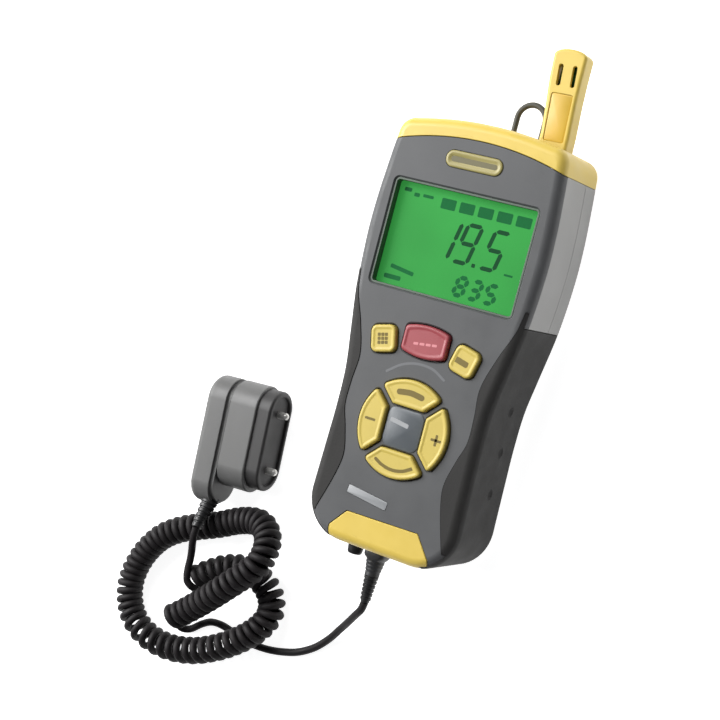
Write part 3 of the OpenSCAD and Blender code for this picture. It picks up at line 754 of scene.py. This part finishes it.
def build_key(name, material, slot):
    """A silicone key: a rounded rim round a shallow dished top."""
    edge, dish = 0.9, 1.5
    rings = [at_height(key_loop(name, 0.0), KEY_FOOT)]
    for a in np.linspace(0, math.pi / 2, 6):
        inset = edge * (1 - math.cos(a))
        rings.append(at_height(key_loop(name, -inset), KEY_TOP - edge + edge * math.sin(a)))
    for inset, drop in ((edge + 0.35, 0), (dish + 0.1, DIP * 0.6), (dish + 0.6, DIP)):
        rings.append(at_height(key_loop(name, -inset), KEY_TOP - drop))
    even_normals(show(name + ".cap", new_mesh(name, *loft(rings), sharp=60), material, name, slot, name))


def plates(name, loops, low, high, material, body, slot):
    """Thin flat marks, all of one mesh."""
    points, faces = [], []
    for loop in loops:
        more, sides = loft(stack((loop, low), (loop, high)))
        faces += [tuple(i + len(points) for i in face) for face in sides]
        points += more
    show_skin(name, (points, faces), material, body, slot)


def band(points, width):
    """A loop round a path, as a band of that width with round ends."""
    path = np.array(points, float)
    ahead = np.gradient(path, axis=0)
    ahead /= np.linalg.norm(ahead, axis=1)[:, None]
    side = np.stack([-ahead[:, 1], ahead[:, 0]], 1) * width / 2
    right = [tuple(p) for p in path - side]
    left = [tuple(p) for p in (path + side)[::-1]]

    def end(middle, direction):
        angle = math.degrees(math.atan2(direction[1], direction[0]))
        return arc(middle, width / 2, angle - 60, angle + 60, 4)

    return right + end(path[-1], ahead[-1]) + left + end(path[0], -ahead[0])


def curved_band(curve, step, width):
    """A band of that width along the smooth curve through points."""
    return band(spline([(x, y, 0) for x, y in curve], step)[:, :2], width)


def bar(width, height, turn, middle):
    return turned(rounded_loop(width, height, min(width, height) * 0.3, steps=3), turn, middle)


def build_marks():
    """The plain pictographs printed on the keys."""
    def mark(name, loops, material=OLIVE, slot="yellow_rubber"):
        floor = KEY_TOP - DIP
        plates(name + ".mark", loops, floor - 0.05, floor + 0.05, material, name, slot)

    left = []
    for row in (-1.55, 0, 1.55):
        for column in (-1.55, 0, 1.55):
            left.append(turned(rounded_loop(1.3, 1.3, 0.3, (column, row), 3), 14, (-17.9, -3.9)))
    mark("key_left", left)
    mark("key_right", [bar(6.2, 2.3, -14, (16.6, -4.2))])
    mark("key_up", [curved_band([(-5.1, -21.6), (-0.2, -21.0), (4.7, -21.6)], 0.6, 2.3)])
    curve = [(-7.6, -49.0), (-4.2, -50.6), (0.3, -51.3), (4.6, -50.5), (8.4, -48.4)]
    mark("key_down", [curved_band(curve, 0.6, 1.3)])
    mark("key_back", [bar(4.6, 1.0, 0, (-14.3, -35.0))])
    mark("key_next", [bar(4.4, 1.0, 0, (14.9, -35.4)), bar(1.0, 4.4, 0, (14.9, -35.4))])
    dashes = [bar(2.1, 1.0, 8, (x, -1.75 + 0.13 * x)) for x in (-3.6, -1.0, 1.6, 4.2)]
    mark("key_power", dashes, PINK_PRINT, "red_rubber")


# ---------- pieces of the case ----------

# Where the screws, display, badge and nameplate are
SCREWS = [(-26, 68), (26, 68), (-22, -68), (22, -68)]
DISPLAY_AT = (0, 37)
DISPLAY = (62, 42.1)
BADGE_AT = (0, 69.3)
PLATE_AT = (-7.5, -64.6)


def display_cutter():
    """The opening of the display, with its upper edge sloped."""
    width, height = DISPLAY
    inner = rounded_loop(width, height, 2, DISPLAY_AT)
    outer = rounded_loop(width + 1.2, height + 1.2, 2.6, DISPLAY_AT)
    rings = stack((inner, PANEL_IN - 2), (inner, TOP - 0.7), (outer, TOP), (outer, TOP + 3))
    return new_mesh("opening", *loft(rings))


def build_panel():
    """The front panel: the flat with its openings, and the rounded edge down to the side frame."""
    inside = outline(WALL + 0.2)
    body = new_mesh("panel", *loft(stack((inside, PANEL_IN), (inside, PARTING)) + front_edge()))
    cutters = [cap_cutter(CAP_SEAM), bottom_cutter(CAP_SEAM), end_cutter(SEAM), display_cutter()]
    cutters += grip_cutters(SEAM)
    cutters += [key_cutter(name) for name in KEYS]
    cutters.append(prism(rounded_loop(24.6, 7.1, 3.5, BADGE_AT, 8), TOP - 0.8, TOP + 2))
    cutters.append(prism(turned(rounded_loop(18.4, 3.6, 0.5), -7, PLATE_AT), TOP - 0.5, TOP + 2))
    panel = cut(body, *cutters)
    finish_piece("front_panel", panel, PANEL, "meter", "panel_plastic", "front_case")


def build_side_frame():
    """The light side wall between the panel and the back."""
    low, high = SPLIT + 0.06, PARTING - 0.12
    outer, inner = outline(), outline(WALL)
    rings = stack((outer, low), (outer, high), (inner, high), (inner, low))
    body = new_mesh("side", *loft(rings, closed=True))
    cutters = [cap_cutter(SEAM), end_cutter(SEAM)] + grip_cutters(SEAM) + jack_cutters()
    finish_piece("side_frame", cut(body, *cutters), SIDE, "meter", "back_plastic", "front_case", soften=0.12)


def build_rear():
    """The back shell: a tray with screw bosses, ribs round the battery bay and the bay's opening."""
    rim = SPLIT - 0.06
    rings = back_edge() + stack((outline(), rim), (outline(WALL), rim), (outline(WALL), BACK))
    tray = new_mesh("tray", *loft(rings))
    ribs = [disc(x, y, 4.2, 1, SPLIT - 0.2) for x, y in SCREWS]
    for side in (1, -1):
        ribs.append(block((side * 19.5 - 0.7, -68, 2), (side * 19.5 + 0.7, -10, 13)))
        ribs.append(block((side * 18.3 - 1.9, -68, 2), (side * 18.3 + 1.9, -10, 3.4)))
    ribs.append(block((-20, -11.4, 2), (20, -10, 13)))
    cutters = []
    for x, y in SCREWS:
        cutters += [disc(x, y, 3, -1, 3.2), disc(x, y, 1.8, -1, SPLIT + 1)]
    cutters += [block((-17, -90, -1), (17, -12, 1.3)), block((-18.4, -90, 1.2), (18.4, -12, 2.55))]
    cutters += [cap_cutter(SEAM), end_cutter(SEAM)] + grip_cutters(SEAM)
    rear = cut(combine(tray, ribs, "UNION"), *cutters)
    finish_piece("rear_shell", rear, SIDE, "meter", "back_plastic", "rear_case", soften=0.12)


def build_grip(side, node):
    """A rubber grip: its side skin and its lip on the panel, with three shallow dimples."""
    zone = combine(grip_skin_cutter(side, -SEAM), [grip_lip_cutter(side, -SEAM)], "UNION")
    grip = keep(skin(GRIP_PROUD), zone)
    cutters = [bottom_cutter(SEAM), end_cutter(SEAM)]
    for y, z in ((-18.9, 18.5), (-35, 16.8), (-51.4, 17)):
        cutters.append(ball((side * (side_x(y) + 3.6), y, z), 4.12))
    grip = cut(grip, *cutters)
    finish_piece(node + ".rubber", grip, RUBBER, "meter", "grip_rubber", node)


def ball(centre, radius):
    rings = []
    for a in np.linspace(-math.pi / 2 + 0.08, math.pi / 2 - 0.08, 13):
        level = circle(centre[:2], radius * math.cos(a), 24)
        rings.append(at_height(level, centre[2] + radius * math.sin(a)))
    return new_mesh("ball", *loft(rings))


def build_caps():
    """The yellow cap at the sensor end, and the yellow inlay at the plug end."""
    top = cut(keep(skin(), cap_cutter()), hollow(), stalk_cutter(0.12))
    finish_piece("top_cap.shell", top, YELLOW, "meter", "yellow_plastic", "top_cap", soften=0.22)
    zone = combine(bottom_cutter(0.0), [end_cutter(0.0)], "UNION")
    low = cut(keep(skin(), zone), *jack_cutters())
    finish_piece("bottom_cap.inlay", low, YELLOW, "meter", "yellow_plastic", "bottom_cap", soften=0.3)


def build_badge():
    """A plain badge: a raised yellow rim round an olive field."""
    low, high = box("badge")
    loops = [(24, 6.5, 3.2, low[2]), (24, 6.5, 3.2, high[2] - 0.25), (23.5, 6.0, 2.95, high[2]),
             (21.4, 3.9, 1.9, high[2]), (20.6, 3.1, 1.5, high[2] - 0.3)]
    rings = [at_height(rounded_loop(w, h, r, BADGE_AT, 8), z) for w, h, r, z in loops]
    show_skin("badge.rim", loft(rings), BADGE_RIM, "meter", "badge_plastic", "badge", sharp=50)
    plates("badge.field", [rounded_loop(19.6, 2.1, 1.0, BADGE_AT, 6)], high[2] - 0.3, high[2] - 0.22,
           BADGE_FIELD, "meter", "badge_plastic")


def build_nameplate():
    low, high = box("nameplate")
    loops = [(0, low[2]), (0, high[2] - 0.08), (0.15, high[2])]
    rings = [at_height(turned(rounded_loop(18 - 2 * g, 3.2 - 2 * g, 0.4), -7, PLATE_AT), z) for g, z in loops]
    show_skin("nameplate.strip", loft(rings), LABEL, "meter", "label_plastic", "nameplate")


def build_island():
    """The fixed square in the middle of the ring, with its pale strip, and the pale arc above the ring."""
    foot = rounded_loop(15.4, 15.4, 3.0, RING_AT)
    rings = stack((foot, TOP - 0.1), (foot, TOP + 0.25), (rounded_loop(14.6, 14.6, 2.6, RING_AT), TOP + 0.45))
    show_skin("island", loft(rings), ISLAND, "meter", "panel_plastic")
    plates("island.strip", [bar(8.2, 1.7, -8, (-2.1, -33.2))], TOP + 0.44, TOP + 0.50, PALE_PRINT, "meter",
           "label_plastic")
    curve = [(-13.3, -15.6), (-7.7, -11.6), (-1.6, -9.7), (5.3, -10.0), (11.1, -12.8)]
    plates("panel.arc", [curved_band(curve, 0.8, 1.0)], TOP - 0.05, TOP + 0.04, FAINT_PRINT, "meter",
           "label_plastic")


# ---------- display ----------

DIGITS = {"1": "bc", "9": "abcdfg", "5": "acdfg", "8": "abcdefg", "3": "abcdg"}


def digit(figure, x, y, width, height, thick, slant=0.16):
    """Loops of the bars of a seven-bar figure, whose lower left corner is at x, y."""
    w, h, t = width, height, thick
    gap = t * 0.12
    flat = {"a": h - t / 2, "g": h / 2, "d": t / 2}
    upright = {"f": (t / 2, h / 2, h), "b": (w - t / 2, h / 2, h),
               "e": (t / 2, 0, h / 2), "c": (w - t / 2, 0, h / 2)}
    loops = []
    for name in DIGITS[figure]:
        if name in flat:
            v = flat[name]
            points = [(t * 0.5 + gap, v), (t + gap, v - t / 2), (w - t - gap, v - t / 2),
                      (w - t * 0.5 - gap, v), (w - t - gap, v + t / 2), (t + gap, v + t / 2)]
        else:
            u, low, high = upright[name]
            low, high = max(low, t / 2) + gap, min(high, h - t / 2) - gap
            points = [(u, low), (u + t / 2, low + t / 2), (u + t / 2, high - t / 2),
                      (u, high), (u - t / 2, high - t / 2), (u - t / 2, low + t / 2)]
        loops.append([(x + a + slant * b, y + b) for a, b in points])
    return loops


def build_display():
    """The figures and small marks of the liquid crystal, just above the lit panel."""
    glass = box("lcd_panel")[1][2]
    big = []
    for figure, x in (("1", -10.0), ("9", -1.4), ("5", 10.2)):
        big += digit(figure, x, 30.9, 7.6, 16.4, 1.65, 0.2)
    big.append(rounded_loop(1.5, 1.5, 0.3, (8.6, 31.8), 3))
    small = []
    for figure, x in (("8", 2.2), ("3", 8.6), ("5", 15.2)):
        small += digit(figure, x, 18.6, 5.6, 8.6, 1.75)
    small.append(bar(3.6, 0.8, 0, (23.6, 31.4)))
    small += [rounded_loop(6.3, 4.1, 0.5, (-8 + 8.05 * i, 52.1), 3) for i in range(5)]
    small += [bar(3.2, 1.5, 0, (-26.4, 54.2)), bar(2.4, 1.5, 0, (-22.2, 52.9))]
    small.append(bar(4.6, 1.2, 0, (-17.2, 53.2)))
    small += [bar(10.6, 1.6, -8, (-20.2, 23.4)), bar(7.4, 1.8, 0, (-23.6, 19.8))]
    plates("display.figures", big, glass, glass + 0.05, SEGMENT, "meter", "display_glass")
    plates("display.marks", small, glass, glass + 0.05, SEGMENT_PALE, "meter", "display_glass")


# ---------- sensor stalk ----------

STALK_DOME = 2.8  # height of the stalk's rounded head
stalk_low, stalk_high = box("sensor_housing")
SHOULDERS = stalk_high[1] - STALK_DOME  # where that head begins
STALK = [(16.9, 80.2), (17, 88), (15.6, 100), (14.6, 108), (14.1, SHOULDERS)]
STALK_FAR = [(27.7, SHOULDERS), (27.8, 108), (28.1, 100), (28.9, 88), (29.1, 80.2)]


def stalk_loop(inset=0.0):
    """Outline of the stalk, counterclockwise from its right foot."""
    far = [(x - inset, y) for x, y in reversed(STALK_FAR)]
    near = [(x + inset, y) for x, y in reversed(STALK)]
    dome = [(20.9 + (6.8 - inset) * math.cos(a), SHOULDERS + (STALK_DOME - inset) * math.sin(a))
            for a in np.radians(np.arange(15, 180, 15))]
    return far + dome + near


def stalk_cutter(grow):
    return prism(stalk_loop(-grow), stalk_low[2] - grow, stalk_high[2] + grow)


def build_stalk():
    """The housing of the air sensor: rounded edges, a sunk amber face and two slots at its head."""
    low, high = stalk_low[2], stalk_high[2]
    edge = 1.3
    rings = []
    for a in np.linspace(math.pi / 2, 0, 6):
        rings.append(at_height(stalk_loop(edge * (1 - math.cos(a))), low + edge * (1 - math.sin(a))))
    for a in np.linspace(0, math.pi / 2, 6):
        rings.append(at_height(stalk_loop(edge * (1 - math.cos(a))), high - edge * (1 - math.sin(a))))
    body = new_mesh("stalk", *loft(rings))
    middle = (low + high) / 2
    face = [(18.9, 84.6), (27.2, 84.6), (26.2, 102.8), (17.4, 102.8)]
    cutters = [prism(round_corners(face, 0.9), high - 0.6, high + 1)]
    cutters.append(block((16.6, 102.5, middle - 2.7), (25.8, 115.5, middle + 2.7)))
    for x in (18.9, 24.7):
        cutters.append(prism(turned(rounded_loop(1.7, 8.2, 0.8), 5, (x - 0.2, 109.7)), low - 1, high + 1))
    stalk = cut(body, *cutters)
    finish_piece("stalk", stalk, YELLOW, "meter", "amber_plastic", "sensor_housing", soften=0.15)
    foot, rim = round_corners(inward(face, 0.08), 0.85), round_corners(inward(face, 0.35), 0.7)
    rings = stack((foot, high - 0.62), (foot, high - 0.35), (rim, high - 0.22))
    show_skin("stalk.face", loft(rings), AMBER, "meter", "amber_plastic")


def build_loop():
    """The cord loop for a wrist strap."""
    low, high = box("strap_loop")
    wire = (high[2] - low[2]) / 2
    reach = (high[0] - low[0]) / 2 - wire
    middle, crown, z = (low[0] + high[0]) / 2, high[1] - wire - reach, (low[2] + high[2]) / 2
    foot = low[1]
    path = [(middle + reach, y, z) for y in np.linspace(foot, crown, 6)[:-1]]
    path += [(x, y, z) for x, y in arc((middle, crown), reach, 0, 180, 24)]
    path += [(middle - reach, y, z) for y in np.linspace(crown, foot, 6)[1:]]
    show_skin("strap_loop.cord", tube(path, wire - 0.02, 14), LOOP, "meter", "black_rubber", "strap_loop",
              sharp=60)


# ---------- sockets, plug and strain reliefs ----------


def build_stopper():
    """The rubber stopper of the spare port: a stem, a grooved head and a domed end."""
    head, end = BOTTOM - 0.2, box("port_stopper")[0][1]
    profile = [(BOTTOM + 5.2, 2.2), (BOTTOM + 4.8, 2.5), (head, 2.5), (head, 3.2), (head - 0.3, 3.4),
               (head - 1.8, 3.36), (head - 2.1, 3.0), (head - 2.5, 3.0), (head - 2.8, 3.28),
               (head - 4.6, 3.1), (end + 0.7, 2.95), (end + 0.2, 2.5), (end, 1.6)]
    show_skin("port_stopper.head", turned_along_y(PORT_X, JACK_Z, profile), BLACK, "port_stopper",
              "black_rubber", "port_stopper", sharp=40)


def build_plug():
    """The moulded plug: a flat shoulder, a waisted grip with ribs, and a ribbed strain relief."""
    start = BOTTOM - 0.45
    sections = [(start, 8.4, 7.2, 1.6), (start - 0.5, 9.1, 7.9, 1.8), (start - 3.4, 9.2, 8.0, 2.0),
                (start - 4.2, 8.8, 7.8, 2.4)]
    for i in range(4):
        y = start - 4.9 - 1.5 * i
        size = 8.1 - 0.5 * i
        for drop, less in ((0, 0), (0.5, 0.7), (0.9, 0.6)):
            sections.append((y - drop, size - less, size - less, (size - less) * 0.49))
    sections.append((start - 11.6, 6.0, 6.0, 2.95))
    rings = [[(JACK_X + a, y, JACK_Z + b) for a, b in rounded_loop(w, h, r)] for y, w, h, r in sections]
    body = show_skin("plug.body", loft(rings), PLUG_GREY, "lead", "black_plastic", "plug_body", sharp=45)
    low, high = box("plug_boot")
    profile = [(high[1], 2.75), (high[1] - 0.2, 2.95)]
    ribs = 6
    step = (high[1] - low[1] - 0.6) / ribs
    for i in range(ribs):
        y, r = high[1] - 0.3 - step * i, 2.95 - 0.14 * i
        for share, less in ((0, 0), (0.55, 0.06), (0.65, 0.45), (0.95, 0.5)):
            profile.append((y - step * share, r - less))
    profile.append((low[1], 1.7))
    boot = show_skin("plug.boot", turned_along_y(JACK_X, JACK_Z, profile), BLACK, "lead", "black_rubber",
                     "plug_boot", sharp=40)
    return [body, boot]


def build_probe_boot():
    """The tapered, ribbed strain relief between the probe and its lead."""
    root, tip = np.array((-92, -91.4, 11.6)), np.array(PROBE_ROUTE[0], float)
    path, radii = [], []
    for i in range(41):
        t = i / 40
        taper = 3.95 + (2.15 - 3.95) * t
        groove = 0.42 if 0.12 < t < 0.95 and (i % 6) in (4, 5) else 0.0
        path.append(root + (tip - root) * t)
        radii.append(taper - groove)
    return show_skin("probe.boot", tube(path, radii, 24), BLACK, "lead", "black_rubber", "probe_boot", sharp=40)


# ---------- probe ----------

PROBE_AT = (-101.5, -67)
PROBE_TURN = math.radians(3)
PROBE_LENGTH = 55.0
PROBE_DEPTH = 20.0
PROBE_SEAM = 12.0  # depth of the back shell
PROBE_EDGE = 3.2  # rounding of its back edge
FRONT_CUT = 9.0  # how much shorter the front shell is
NOSE_CUT = 10.1  # how much shorter the nose is
NOSE_INSET = 1.0  # how much smaller the nose is all round
FRONT_END = 26.0
NOSE_END = 32.5
GROOVE = 1.3  # depth of the groove between the shells
PROBE_SCREWS = (-14, 21)
PROBE_PINS = (-7.5, 16.5)


def in_probe(u, v, z):
    """A place in the probe: u out of its back, v along it, z above the table."""
    c, s = math.cos(PROBE_TURN), math.sin(PROBE_TURN)
    return (PROBE_AT[0] + c * u - s * v, PROBE_AT[1] + s * u + c * v, z)


def probe_ring(u, inset, cut_short=0.0):
    """A long round-ended section of the probe, that much smaller all round."""
    half = PROBE_LENGTH / 2 - inset
    r = PROBE_DEPTH / 2 - inset
    ends = [(half - r, -90), (-(half - r) + cut_short, 90)]
    loop = []
    for middle, start in ends:
        loop += [(v, z) for v, z in arc((middle, PROBE_DEPTH / 2), r, start, start + 180, 20)]
    return [in_probe(u, v, z) for v, z in loop]


def probe_shell(steps, cut_short=0.0):
    return new_mesh("probe", *loft([probe_ring(u, inset, cut_short) for u, inset in steps]))


def probe_rod(v, u1, u2, radius):
    """A rod along the probe's depth."""
    section = circle((v, PROBE_DEPTH / 2), radius, 24)
    return new_mesh("rod", *loft([[in_probe(u, a, b) for a, b in section] for u in (u1, u2)]))


def rounding(radius, end, inset=0.0):
    """(u, inset) pairs of a rounded edge that runs out to the face at u = end."""
    return [(end - radius + radius * math.sin(a), inset + radius * (1 - math.cos(a)))
            for a in np.linspace(0, math.pi / 2, 6)]


def build_probe():
    """The probe: a back shell and a shorter front shell with a groove between them, and a dark nose."""
    back = [(PROBE_EDGE - PROBE_EDGE * math.sin(a), PROBE_EDGE * (1 - math.cos(a)))
            for a in np.linspace(math.pi / 2, 0, 7)]
    back += [(PROBE_SEAM - 1.9, 0.0), (PROBE_SEAM - 1.6, 0.2)]
    back += [(PROBE_SEAM - 1.5, GROOVE), (PROBE_SEAM, GROOVE)]
    cutters = [probe_shell([(2.6, 3.3), (PROBE_SEAM + 1, 3.3)], FRONT_CUT)]
    for v in PROBE_SCREWS:
        cutters += [probe_rod(v, -1, 1.5, 2.5), probe_rod(v, 0, 4, 1.4)]
    rear = cut(probe_shell(back), *cutters)
    finish_piece("probe.back", rear, PROBE, "lead", "probe_plastic", "probe_rear_shell", soften=0.1)
    front = [(PROBE_SEAM + 0.02, GROOVE), (PROBE_SEAM + 0.7, GROOVE), (PROBE_SEAM + 0.8, 0.2)]
    front += [(PROBE_SEAM + 1.1, 0.0)] + rounding(0.8, FRONT_END)
    cutters = [probe_rod(v, 11, 20, 1.25) for v in PROBE_SCREWS]
    cutters += [probe_rod(v, 10, 40, 1.55) for v in PROBE_PINS]
    shell = cut(probe_shell(front, FRONT_CUT), *cutters)
    finish_piece("probe.front", shell, PROBE, "lead", "probe_plastic", "probe_front_shell", soften=0.1)
    nose = [(FRONT_END + 0.03, NOSE_INSET)] + rounding(1.2, NOSE_END, NOSE_INSET)
    nose += [(NOSE_END - drop, NOSE_INSET + inset) for drop, inset in ((0, 1.9), (0.3, 2.2), (1.3, 2.3))]
    mesh = cut(probe_shell(nose, NOSE_CUT), *[probe_rod(v, 10, 40, 1.55) for v in PROBE_PINS])
    finish_piece("probe.nose", mesh, PROBE_DARK, "lead", "nose_plastic", "probe_nose", soften=0.08)


# ---------- what stays as the CAD has it ----------

# Node: (material, how much its edges are eased)
KEPT = {
    "lcd_bezel": (BEZEL_GLOW_TINT, 0.15), "lcd_lens": (LENS, 0), "lcd_panel": (GLASS_GREEN, 0), "backlight": (WHITE, 0),
    "main_board": (BOARD, 0), "keypad_mat": (MAT, 0), "battery": (BATTERY, 0.8), "battery_snap": (BLACK, 0.4),
    "buzzer": (BLACK, 0.3), "jack_socket": (BLACK, 0.2), "battery_cover": (SIDE, 0.3),
    "sensor_element": (BOARD, 0), "plug_tip": (METAL, 0.25), "probe_pin_1": (PIN, 0), "probe_pin_2": (PIN, 0),
    "probe_board": (BOARD, 0), "probe_screw_1": (STEEL, 0.12), "probe_screw_2": (STEEL, 0.12)}
for number in range(1, 5):
    KEPT[f"case_screw_{number}"] = (STEEL, 0.15)


def dress_kept():
    """Gives the CAD's own pieces their materials, and eases the edges of some."""
    for node, (material, softening) in KEPT.items():
        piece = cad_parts[node]
        for slot in piece.material_slots:
            slot.material = material
        if softening:
            soften_edges(piece, softening, weld_gap=0.005, segments=3, angle=40)
            even_normals(piece)


def build_cover_ribs():
    """Thumb ribs on the battery cover."""
    loops = [rounded_loop(14 - 1.6 * i, 0.9, 0.4, (0, -22 - 2.2 * i), 4) for i in range(5)]
    plates("battery_cover.ribs", loops, 0.05, 0.5, SIDE, "battery_cover", "back_plastic")


# ---------- all of it ----------

build_panel()
build_side_frame()
build_rear()
build_grip(1, "grip_right")
build_grip(-1, "grip_left")
build_caps()
for name in KEYS:
    if name == "key_power":
        build_key(name, KEY_RED, "red_rubber")
    else:
        build_key(name, KEY_YELLOW, "yellow_rubber")
build_marks()
build_badge()
build_nameplate()
build_island()
build_display()
build_stalk()
build_loop()
build_stopper()
lead_pieces = build_plug() + [build_probe_boot(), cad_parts["plug_tip"]]
build_probe()
dress_kept()
build_cover_ribs()

# ---------- floor and light ----------


def build_floor():
    """A white table top, well past the view."""
    mesh = bpy.data.meshes.new("floor")
    size = 3.0
    corners = [(-size, -size, 0), (size, -size, 0), (size, size, 0), (-size, size, 0)]
    mesh.from_pydata(corners, [], [(0, 1, 2, 3)])
    floor = solid("floor", mesh)
    shader = Shader("floor_white", (0.62, 0.62, 0.62), 0.9)
    shader.set(shader.main, "Emission Color", (1, 1, 1, 1))
    shader.set(shader.main, "Emission Strength", 0.9)
    shader.set(shader.main, "Specular IOR Level", 0.0)
    mesh.materials.append(shader.material)


def add_light(name, place, target, size, power):
    """A square or oblong light that points at the target."""
    data = bpy.data.lights.new(name, "AREA")
    data.shape = "RECTANGLE"
    data.size, data.size_y = size
    data.energy = power
    light = solid(name, data)
    light.location = place
    light.rotation_euler = (Vector(target) - Vector(place)).to_track_quat("-Z", "Y").to_euler()


def build_light():
    scene = bpy.context.scene
    world = bpy.data.worlds.new("world")
    scene.world = world
    world.use_nodes = True
    world.node_tree.nodes["Background"].inputs["Color"].default_value = (0.95, 0.97, 1.0, 1)
    world.node_tree.nodes["Background"].inputs["Strength"].default_value = 0.16
    add_light("key", (-1.05, 0.25, 0.85), (-0.02, -0.03, 0), (0.9, 0.9), 30)
    add_light("top", (-0.35, 0.75, 1.0), (0, 0, 0), (0.8, 0.5), 6)
    scene.view_settings.view_transform = "Standard"


build_floor()
build_light()
